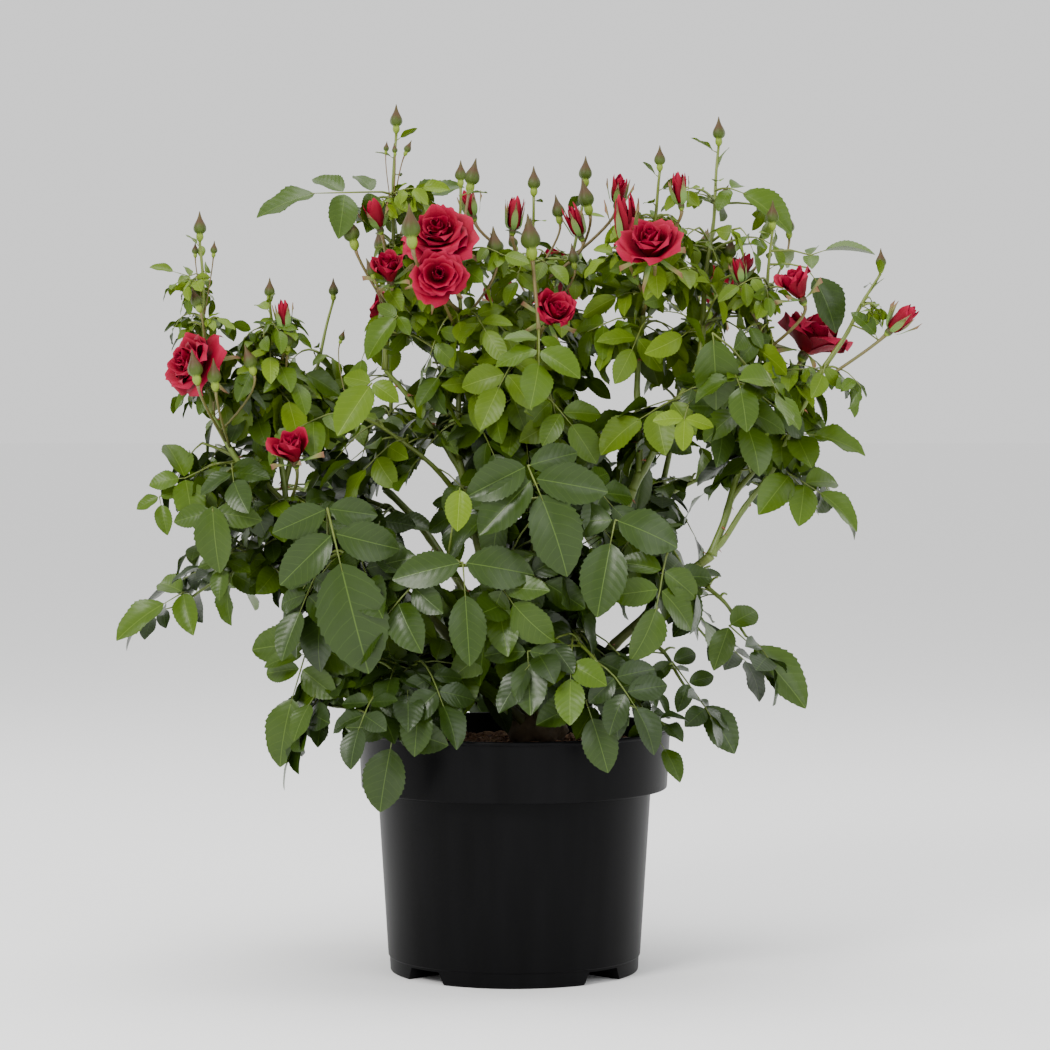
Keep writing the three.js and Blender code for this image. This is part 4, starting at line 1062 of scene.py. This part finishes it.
ways = spin(ways, np.cross(faces_of, ways), pitch)
faces_of = unit(faces_of - ways * (faces_of * ways).sum(-1, keepdims=True))
slim = np.where(flowering[owner] & ~placed, SLIM["in_flower"], 1)
points = place_blades(
    feet + (BLADE["foot"] * lengths)[:, None] * ways,
    ways,
    faces_of,
    lengths,
    picks.uniform(*BLADE["widths"], blades) * slim * np.where(placed, SLIM["placed"], 1),
    picks.uniform(*BLADE["fold"], blades) + np.where(placed, 0.1, 0),
    picks.uniform(*BLADE["bend"], blades) * np.where(placed, 0.8, 1),
    picks.uniform(*BLADE["wave"], blades),
)


def seen_through(points):
    """Which leaflets would stand in an opening, or before a bloom in the front half of the crown. An opening
    is an oval, trimmed a little, on the plane y = 0."""
    x, z = from_front(points)
    inside = np.zeros(len(points), bool)
    seen = np.array(OPENINGS, float)
    middles = seen_at([(column, line, 0) for column, line, _, _ in OPENINGS])
    trim = np.where(seen < TRIM["small"], TRIM["small_by"], TRIM["by"])
    halves = np.where(seen > TRIM["large"], seen, np.maximum(TRIM["least"], seen - trim))[:, 2:]
    for middle, half in zip(middles, np.round(halves * FRONT["step"])):
        inside |= (((x - middle[0]) / half[0]) ** 2 + ((z - middle[2]) / half[1]) ** 2 < 1).any(-1)
    for middle_x, middle_z, spot in zip(*from_front(bloom_spots), bloom_spots):
        before = points[..., 1] < spot[1]
        over = (x - middle_x) ** 2 + (z - middle_z) ** 2 < (BARED["share"] * spot[3]) ** 2
        inside |= (before & over).any(-1) & (spot[1] < BARED["before"])
    return inside


# A leaf is borne if its end leaflet and over half of its leaflets are kept. Leaves that are set one by one
# are kept, and so is the last leaf on each stem, so that no stem ends bare.
ends_stem = np.zeros(count, bool)
ends_stem[: len(leaves)] = [leaf["ends_stem"] for leaf in leaves]
keep = placed | ends_stem[owner] | ~seen_through(points)
kept_share = np.bincount(owner, keep, count) / np.bincount(owner, minlength=count)
borne = keep[:count] & (kept_share > 0.5)
keep &= borne[owner]
points, owner = points[keep], owner[keep]


VEINS = {"pairs": 8, "slant": 0.55, "curve": 1.1, "stray": 0.09, "rib": (0.002, 0.01), "side": (0.01, 0.06)}
VEINS.update({"side_tone": 0.27, "tone": 0.8, "sunk": 0.4})


def fade(tree, value, full, none):
    """One where the value is at most full, nought from none on, and an even slope between."""
    limits = {"From Min": full, "From Max": none, "To Min": 1, "To Max": 0, "Value": value}
    return add(tree, "MapRange", limits, "Result", interpolation_type="SMOOTHSTEP")


def blend(tree, share, first, second):
    """A colour between two, by a share."""
    return add(tree, "Mix", {"Factor": share, "A": first, "B": second}, "Result", data_type="RGBA")


def leaf_green(name, blade, vein, mottled, roughness, shine):
    """Leaf skin. The unwrapped blade lies flat on its map, its midrib at x = 0.5. Side veins are even bands
    of y - slant |x| - curve x^2, x from the midrib, paler than the skin; the skin is quilted between them.
    The skin is blended in soft noise patches towards the lighter green passed as mottled: a painted sheen."""
    material, tree, shader = plain_material(name, blade, roughness)
    unwrapped = add(tree, "UVMap", {}, "UV", uv_map="OFBake")
    x = add(tree, "SeparateXYZ", {"Vector": unwrapped}, "X")
    y = add(tree, "SeparateXYZ", {"Vector": unwrapped}, "Y")
    off_rib = maths(tree, "ABSOLUTE", maths(tree, "SUBTRACT", x, 0.5))
    mottle = add(tree, "TexNoise", {"Scale": 5, "Detail": 5, "Vector": unwrapped}, "Fac")
    curved = maths(tree, "MULTIPLY_ADD", maths(tree, "MULTIPLY", off_rib, off_rib), -VEINS["curve"], y)
    slanted = maths(tree, "MULTIPLY_ADD", off_rib, -VEINS["slant"], curved)
    strayed = maths(tree, "MULTIPLY_ADD", mottle, VEINS["stray"], slanted)
    wave = maths(tree, "PINGPONG", maths(tree, "MULTIPLY", strayed, VEINS["pairs"]), 0.5)
    rib = fade(tree, off_rib, *VEINS["rib"])
    side_vein = maths(tree, "MULTIPLY", fade(tree, wave, *VEINS["side"]), VEINS["side_tone"])
    veined = maths(tree, "MULTIPLY", maths(tree, "MAXIMUM", rib, side_vein), VEINS["tone"])
    # Noise patches that lighten the blade's green towards the mottled colour: a painted sheen.
    skin = blend(tree, mottle, (*blade, 1), (*mottled, 1))
    quilt = maths(tree, "SUBTRACT", wave, maths(tree, "MULTIPLY", rib, VEINS["sunk"]))
    finish = {
        "Base Color": blend(tree, veined, skin, (*vein, 1)),
        "Specular IOR Level": shine,
        "Normal": relief(tree, quilt, 0.21, 0.0007),
    }
    join(tree, shader, finish)
    return material


GREENS = [
    # name, blade, vein, the lighter green of the painted sheen patches (mottled with), roughness, specular
    # level
    ("leaves_deep", (0.0112, 0.025, 0.002), (0.056, 0.1, 0.014), (0.0188, 0.04, 0.004), 0.33, 0.3),
    ("leaves_dark", (0.0158, 0.0365, 0.002), (0.075, 0.13, 0.018), (0.0262, 0.053, 0.003), 0.33, 0.29),
    ("leaves_green", (0.0266, 0.057, 0.002), (0.094, 0.155, 0.02), (0.04, 0.077, 0.002), 0.35, 0.27),
    ("leaves_fresh", (0.0435, 0.087, 0.0015), (0.122, 0.19, 0.022), (0.06, 0.111, 0.002), 0.37, 0.25),
    ("leaves_bright", (0.063, 0.114, 0.0015), (0.16, 0.23, 0.03), (0.084, 0.142, 0.002), 0.4, 0.23),
    ("leaves_young", (0.091, 0.155, 0.0015), (0.205, 0.28, 0.04), (0.117, 0.186, 0.003), 0.43, 0.22),
]
# Higher leaves take paler greens: they are younger, and the paler greens are also painted light shining
# through them.
age_and_glow = (hub[:, 2] - AGE_AND_GLOW["foot"]) / AGE_AND_GLOW["over"] + AGE_AND_GLOW["upper"] * flowering * upper
age_and_glow += picks.normal(0, AGE_AND_GLOW["stray"], count)
shade = np.clip((age_and_glow * len(GREENS)).astype(int), 0, len(GREENS) - 1)
shade[singles] = column(SINGLES + BACK_SINGLES, 4)
for index, (name, *green) in enumerate(GREENS):
    chosen = points[shade[owner] == index]
    corners = blade_corners + len(blade_spots) * np.arange(len(chosen))[:, None]
    sizes = np.tile(blade_sizes, len(chosen))
    piece = surface(name, chosen.reshape(-1, 3), corners, sizes, uv=np.tile(blade_uv, (len(chosen), 1)))
    dress(piece, leaf_green(name + "_skin", *green), "foliage")


def stalk_tubes():
    """Each leaf's stalk: from its root up to the first pair, on to the second, and out to the end leaflet."""
    t = np.array([0, 0.5, 1.0])[:, None]
    first = at[:, None] * (1 - t) + hub[:, None] * t
    first[:, 1] += UP * (STALK["bow"] * np.linalg.norm(hub - at, axis=-1))[:, None]
    between = 0.5 * (second + end_foot)
    into_end = end_foot + way * (STALK["into"] * end_length)[:, None]
    knee = np.where((pair_length[:, 1] > 0)[:, None], second, 0.7 * second + 0.3 * between)
    tail = np.stack([knee, between, into_end], 1)
    paths = np.concatenate([first, tail], 1)
    radii = np.array(STALK["radius"]) * (end_length / STALK["for"])[:, None] ** 0.5
    return tubes("leaf_stalks", paths[borne], radii[borne], 5)


def twig_tubes():
    """Each twig is a thin tube that rises in a slight bow from its stem to its end leaf."""
    bearing_leaves = sorted({leaf["twig"] for leaf, kept in zip(leaves, borne) if kept})
    roots = np.array([twigs[index][0] for index in bearing_leaves])
    tips = np.array([twigs[index][1] for index in bearing_leaves])
    longer = np.linalg.norm(tips - roots, axis=-1) > 1
    roots, tips = roots[longer], tips[longer]
    t = np.linspace(0, 1, 6)[:, None]
    paths = roots[:, None] * (1 - t) + tips[:, None] * t
    paths[..., 2] += TWIG["bow"] * np.sin(np.pi * t[:, 0])
    radii = np.broadcast_to(np.linspace(*TWIG["radius"], 6), (len(roots), 6))
    return tubes("twigs", paths, radii, 6)


stalk_green = bark("stalk_green", (0.08, 0.115, 0.012), (0.14, 0.175, 0.025), 200, 600, 0.45)
dress(stalk_tubes(), stalk_green, "foliage")
dress(twig_tubes(), stem_green, "foliage")

# ---------------------------------------------------------------- buds
# Each flowering stem ends in a bud, and more stand beside it on stalks of their own. A bud is a green urn,
# the hip to be, under five sepals that are shut over the petals and drawn out to a long tip.

BUD = {"radius": 5.5, "length": 26, "pedicel": 42, "sizes": (0.75, 1.05), "rise": (58, 75)}
BUDS_EACH = {"front": 1, "back": 5}
SIDE_BUDS = [
    # each bud's foot and tip, both as column and line, and their depth
    ((387, 156), (388, 143), -28), ((396, 158), (395, 144), -36), ((405, 158), (412, 142), -24),
    ((469, 195), (476, 160), -30), ((357, 252), (345, 213), -40), ((413, 250), (409, 205), -118),
    ((533, 262), (527, 215), -60), ((560, 226), (555, 196), 0), ((590, 217), (581, 179), 10),
    ((717, 206), (728, 186), 30), ((788, 240), (787, 213), 20), ((729, 266), (731, 236), 0),
    ((197, 259), (196, 243), -40), ((214, 258), (215, 241), -44), ((201, 313), (193, 287), -60),
    ((288, 355), (287, 324), -60), ((198, 386), (192, 350), -95), ((217, 392), (214, 358), -92),
    ((255, 376), (245, 345), -80), ((497, 265), (493, 227), -60), ((375, 280), (367, 262), -60),
    ((575, 271), (571, 244), -20), ((668, 250), (674, 228), -40), ((340, 345), (345, 330), -30),
]
# from a bud's foot to its tip: the share of its length, and the share of its radius there
BUD_OUTLINE = np.array([
    (0, 0.17), (0.03, 0.3), (0.09, 0.5), (0.16, 0.58), (0.23, 0.54),
    (0.265, 0.5), (0.3, 0.72), (0.36, 0.93), (0.43, 1.0), (0.51, 0.95),
    (0.59, 0.79), (0.67, 0.58), (0.75, 0.39), (0.85, 0.22), (1.0, 0.05),
])
BUD_STOPS = [
    (0.0, (0.16, 0.23, 0.02)),
    (0.24, (0.2, 0.28, 0.03)),
    (0.3, (0.06, 0.1, 0.01)),
    (0.5, (0.05, 0.066, 0.01)),
    (0.66, (0.066, 0.034, 0.013)),
    (0.85, (0.066, 0.05, 0.014)),
]
STALK_FROM = {"bud": 45, "bloom": 40}  # how far below a flower its stalk leaves the wood, at least


def bud_sites(spray, stem, count):
    """A spray's buds: the first on the stem's tip, the others on stalks that leave it below the tip."""
    dice = Dice(spray["seed"] + 500)
    sites = []
    for i in range(count):
        size = dice.between(*BUD["sizes"])
        share = 0.7 + 0.2 * fraction(0.5 + STEPS["along"] * i) if i else 1
        root = stem.at(share)
        way = UP
        if i:
            bearing = 2.4 * i + dice.between(0, 1)
            way = heading(bearing, np.radians(dice.between(*BUD["rise"])))
        stalk = BUD["pedicel"] * dice.between(0.7, 1.1) if i else 0
        sites.append({"root": root, "at": root + way * stalk, "way": way, "size": size})
    return sites


def frame_of(axes, roll):
    """Two unit vectors across each axis, at right angles to each other, turned about it by roll."""
    guide = np.eye(3)[np.abs(axes).argmin(-1)]
    first = unit(np.cross(axes, guide))
    other = np.cross(axes, first)
    cos, sin = np.cos(roll)[:, None], np.sin(roll)[:, None]
    return first * cos + other * sin, other * cos - first * sin


def spindles(name, feet, axes, lengths, radii, outline, sides=15, ribs=0.07):
    """Closed round bodies, all of one outline: rings of a radius share at each height share, with five
    ribs that rise and fall by a small share of the radius."""
    turn = 2 * np.pi * np.arange(sides) / sides
    first, other = frame_of(axes, np.arange(len(feet)) * 1.7)
    ring = first[:, None] * np.cos(turn)[:, None] + other[:, None] * np.sin(turn)[:, None]
    ribbed = 1 + ribs * np.cos(5 * turn)
    across = radii[:, None, None] * outline[:, 1][:, None] * ribbed
    points = feet[:, None, None] + (lengths[:, None] * outline[:, 0])[:, :, None, None] * axes[:, None, None]
    points = points + across[..., None] * ring[:, None]
    steps = len(outline)
    shape = (len(feet), steps, sides)
    u = np.broadcast_to(np.abs(2 * np.arange(sides) / sides - 1), shape)
    v = np.broadcast_to(outline[:, 0][:, None], shape)
    uv = np.stack([u, v], -1).reshape(-1, 2)
    return surface(name, points.reshape(-1, 3), *closed_rings(len(feet), steps, sides), uv=uv)


def painted(name, stops, roughness, streaks, speckle, shine=0.25):
    """A skin whose colour runs along its map by the stops, with fine streaks along it and soft mottling."""
    material, tree, shader = plain_material(name, stops[0][1], roughness)
    unwrapped = add(tree, "UVMap", {}, "UV", uv_map="OFBake")
    along = add(tree, "SeparateXYZ", {"Vector": unwrapped}, "Y")
    squeezed = add(tree, "Mapping", {"Scale": (streaks, 1.5, 1), "Vector": unwrapped}, "Vector")
    grain = add(tree, "TexNoise", {"Scale": 2, "Detail": 4, "Vector": squeezed}, "Fac")
    place = maths(tree, "ADD", along, maths(tree, "MULTIPLY_ADD", grain, speckle, -0.5 * speckle))
    finish = {
        "Base Color": ramp(tree, place, stops),
        "Specular IOR Level": shine,
        "Normal": relief(tree, grain, 0.25, 0.0006),
    }
    join(tree, shader, finish)
    return material


buds = []
for name in FLOWERING:
    place = "back" if name.startswith("back") else "front"
    buds += bud_sites(SPRAYS[name], stems[name], BUDS_EACH[place])
side_foot, side_tip = [seen_at([(*row[end], row[2]) for row in SIDE_BUDS]) for end in (0, 1)]
side_length = np.linalg.norm(side_tip - side_foot, axis=-1)
bud_at = np.concatenate([column(buds, "at"), side_foot])
bud_way = np.concatenate([column(buds, "way"), (side_tip - side_foot) / side_length[:, None]])
bud_root = np.concatenate([column(buds, "root"), nearest(side_foot, STALK_FROM["bud"])])
bud_size = np.concatenate([column(buds, "size"), side_length / BUD["length"]])
bud_skin = painted("bud_green", BUD_STOPS, 0.5, 9, 0.3)
shut = spindles("buds", bud_at, bud_way, BUD["length"] * bud_size, BUD["radius"] * bud_size, BUD_OUTLINE)
dress(shut, bud_skin, "foliage")


def stalks(name, roots, ends, ways, thick):
    """Flower stalks: each leaves its root on a straight line and turns to come in along the flower's axis."""
    t = np.linspace(0, 1, 9)[:, None]
    knee = ends - ways * (0.2 * np.linalg.norm(ends - roots, axis=-1))[:, None]
    paths = roots[:, None] * (1 - t) ** 2 + knee[:, None] * 2 * t * (1 - t) + ends[:, None] * t**2
    swell = 1 + 0.5 * np.clip(1 - t[:, 0] * 8, 0, 1) + 0.35 * np.clip(t[:, 0] * 6 - 5, 0, 1)
    return tubes(name, paths, thick[:, None] * swell, 7)


pedicel_red = bark("pedicel_red", (0.1, 0.115, 0.02), (0.15, 0.085, 0.03), 380, 700, 0.5)
apart = np.linalg.norm(bud_at - bud_root, axis=-1) > 1
bud_stalks = stalks("bud_stalks", bud_root[apart], bud_at[apart], bud_way[apart], bud_size[apart])
dress(bud_stalks, pedicel_red, "foliage")

# ---------------------------------------------------------------- blooms
# Double crimson blooms. Petals wrap one another on the golden angle round a tight heart, the outer ones
# wider, spread and rolled back at the rim. Each stands on its hip, with five sepals turned down under it.

HIP_OUTLINE = np.array([(0, 0.4), (0.1, 0.65), (0.35, 0.95), (0.6, 1.0), (0.85, 0.88), (1.0, 0.7)])
RED_BUDS = [
    # buds that show their petals: foot and tip, both as column and line, their depth, half their width
    ((512, 241), (517, 195), -20, 9), ((584, 247), (567, 204), -10, 8),
    ((627, 262), (622, 190), -70, 9), ((287, 337), (282, 298), -70, 6),
    ((681, 216), (678, 172), -60, 8), ((741, 290), (737, 256), -40, 6),
]
SHUT = 0.3  # a flower opened less than this is a bud that shows its petals
GOLDEN_ANGLE = 2.39996  # in radians
HIP = {"length": 6, "longer": 0.12, "radius": 2.2, "wider": 0.075}  # longer and wider by the bloom's radius
red_foot, red_tip = [seen_at([(*row[end], row[2]) for row in RED_BUDS]) for end in (0, 1)]
red_length = np.linalg.norm(red_tip - red_foot, axis=-1)
bloom_length = column(BLOOMS, "radius") * (2.9 - 1.9 * column(BLOOMS, "open") ** 0.5)
bloom_length = np.concatenate([bloom_length, 0.8 * red_length])
bloom_radius = np.concatenate([column(BLOOMS, "radius"), column(RED_BUDS, 3)])
bloom_open = np.concatenate([column(BLOOMS, "open"), np.full(len(RED_BUDS), 0.05)])
bloom_ways = np.concatenate([bloom_ways, (red_tip - red_foot) / red_length[:, None]])
bloom_at = np.concatenate([column(BLOOMS, "at"), red_foot + (red_tip - red_foot) * 0.25])
bloom_roots = nearest(bloom_at, STALK_FROM["bloom"])
for index, bloom in enumerate(BLOOMS):
    stem = stems[bloom["spray"]]
    rise = (bloom["at"][2] - STALK_FROM["bud"] - stem.root[2]) / (stem.tip[2] - stem.root[2])
    if rise > 0:
        bloom_roots[index] = stem.at(min(rise, 0.95))
flowers = len(bloom_at)
hip_length = HIP["length"] + HIP["longer"] * bloom_radius
hip_radius = HIP["radius"] + HIP["wider"] * bloom_radius
bloom_foot = bloom_at - bloom_ways * (0.8 * hip_length)[:, None]


def cupped(name, feet, axes, spins, lengths, widths, taper, roots, base, tilt, curl, ruffle, grid):
    """Petals or sepals. In the plane of its own radius a petal climbs from the axis at an angle that starts
    at base, settles at tilt and ends at tilt and curl; across it, it is part of a circle about the axis, as
    wide as s^0.75 sqrt(1 - 0.94 s^5) less the taper, and its rim waves by the ruffle."""
    rows, columns = grid
    s = np.linspace(0, 1, rows)
    c = np.linspace(-1, 1, columns)
    settle = np.clip(1 - s / 0.35, 0, 1) ** 2
    roll = np.clip((s - 0.6) / 0.4, 0, 1) ** 2
    angle = tilt[:, None] + (base - tilt)[:, None] * settle + curl[:, None] * roll
    step = lengths[:, None] / (rows - 1)
    radius = roots[:, None] + np.cumsum(np.sin(angle) * step, 1) - np.sin(angle) * step
    height = np.cumsum(np.cos(angle) * step, 1) - np.cos(angle) * step
    shape = s**0.75 * np.sqrt(1 - 0.94 * s**5)
    half = widths[:, None] * (0.14 + 1.1 * shape) * (1 - taper[:, None] * s**1.5)
    bend = np.maximum(radius, 0.28 * widths[:, None])
    turn = np.clip(half / bend, 0, 2.6)[..., None] * c
    first, other = frame_of(axes, spins)
    wave = ruffle[:, None, None] * (s**2)[:, None] * np.sin(4.5 * c + 3 * spins[:, None, None])
    out = radius[..., None] - bend[..., None] * (1 - np.cos(turn)) + 0.8 * wave
    beside = bend[..., None] * np.sin(turn)
    tall = height[..., None] + 0.6 * wave - (0.24 * lengths)[:, None, None] * s[:, None] ** 2 * np.abs(c) ** 3
    points = feet[:, None, None] + out[..., None] * first[:, None, None]
    points = points + beside[..., None] * other[:, None, None] + tall[..., None] * axes[:, None, None]
    faces = quads(rows, columns)
    corners = faces.ravel() + rows * columns * np.arange(len(feet))[:, None]
    u = np.broadcast_to(0.5 + 0.5 * c, (len(feet), rows, columns))
    v = np.broadcast_to(s[:, None], (len(feet), rows, columns))
    uv = np.stack([u, v], -1).reshape(-1, 2)
    return surface(name, points.reshape(-1, 3), corners, np.full(len(faces) * len(feet), 4), uv=uv)


petal_picks = np.random.default_rng(5)
petal_counts = (8 + 15 * bloom_open**0.6).astype(int)
of_bloom = np.repeat(np.arange(flowers), petal_counts)
order = np.concatenate([np.arange(number) / (number - 1) for number in petal_counts])
number_in = np.concatenate([np.arange(number) for number in petal_counts])
total = len(of_bloom)
opened = bloom_open[of_bloom]
wide = bloom_radius[of_bloom]
closed = opened < SHUT
calm = np.where(closed, 0.35, 1)
petals = cupped(
    "petals",
    feet=bloom_at[of_bloom] + bloom_ways[of_bloom] * (0.1 * wide * (1 - order))[:, None],
    axes=bloom_ways[of_bloom],
    spins=GOLDEN_ANGLE * number_in + of_bloom + petal_picks.normal(0, 0.15, total) * (1 + order),
    lengths=bloom_length[of_bloom] * (0.72 + 0.28 * order) * petal_picks.uniform(0.92, 1.06, total),
    widths=wide * np.where(closed, 1.1, 0.45 + 0.42 * order) * petal_picks.uniform(0.9, 1.1, total),
    taper=np.where(closed, 0.6, 0.1),
    roots=np.where(closed, 0.05, 0.025) * wide,
    base=np.radians(np.where(closed, 30 + 45 * order, 16 + (26 + 36 * opened) * np.minimum(1, 2 * order))),
    tilt=np.radians(
        -3 + 6 * opened + (4 + 62 * opened**2) * order**1.1 + petal_picks.normal(0, 8, total) * calm
    ),
    curl=np.radians(
        np.where(closed, -38, 4 + 42 * opened**2) * order + petal_picks.normal(0, 16, total) * calm
    ),
    ruffle=0.052 * wide * (0.3 + opened * order) * petal_picks.uniform(0.4, 1.4, total),
    grid=(10, 9),
)
# Up the petal: a pale foot, deep crimson, then a lighter, pinker rim, partly the petal's own pink edge and
# partly a painted highlight.
PETAL_STOPS = [
    (0.0, (0.4, 0.2, 0.07)),
    (0.08, (0.22, 0.004, 0.01)),
    (0.3, (0.13, 0.0, 0.008)),
    (0.7, (0.205, 0.0, 0.013)),
    (0.9, (0.265, 0.0, 0.021)),
    (1.0, (0.34, 0.005, 0.04)),
]
dress(petals, painted("petal_crimson", PETAL_STOPS, 0.6, 16, 0.14, shine=0.15), "foliage")

sepal_of = np.repeat(np.arange(flowers), 5)
sepal_open = bloom_open[sepal_of]
shut_sepal = sepal_open < SHUT
sepal_calm = np.where(shut_sepal, 0.4, 1)
sepal_number = np.tile(np.arange(5), flowers)
sepals = cupped(
    "sepals",
    feet=bloom_at[sepal_of] - bloom_ways[sepal_of] * 1.0,
    axes=bloom_ways[sepal_of],
    spins=sepal_number * 2 * np.pi / 5 + sepal_of,
    lengths=np.where(shut_sepal, 0.88 * bloom_length[sepal_of], 14 + 0.42 * bloom_radius[sepal_of]),
    widths=np.where(shut_sepal, 5.4, 4.2),
    taper=np.full(len(sepal_of), 0.93),
    roots=hip_radius[sepal_of] * 0.8,
    base=np.radians(58 + 30 * sepal_open),
    tilt=np.radians(1 + 125 * sepal_open + petal_picks.normal(0, 8, len(sepal_of)) * sepal_calm),
    curl=np.radians(np.where(shut_sepal, 4, 25) + petal_picks.normal(0, 20, len(sepal_of)) * sepal_calm),
    ruffle=np.full(len(sepal_of), 0.5),
    grid=(8, 5),
)
SEPAL_STOPS = [
    (0.0, (0.15, 0.27, 0.06)),
    (0.45, (0.13, 0.22, 0.05)),
    (0.8, (0.2, 0.17, 0.06)),
    (1.0, (0.22, 0.1, 0.06)),
]
dress(sepals, painted("sepal_green", SEPAL_STOPS, 0.55, 8, 0.25), "foliage")
hips = spindles("hips", bloom_foot, bloom_ways, hip_length, hip_radius, HIP_OUTLINE, ribs=0.02)
dress(hips, bud_skin, "foliage")
bloom_stalks = stalks("bloom_stalks", bloom_roots, bloom_foot, bloom_ways, np.full(flowers, 1.35))
dress(bloom_stalks, pedicel_red, "foliage")
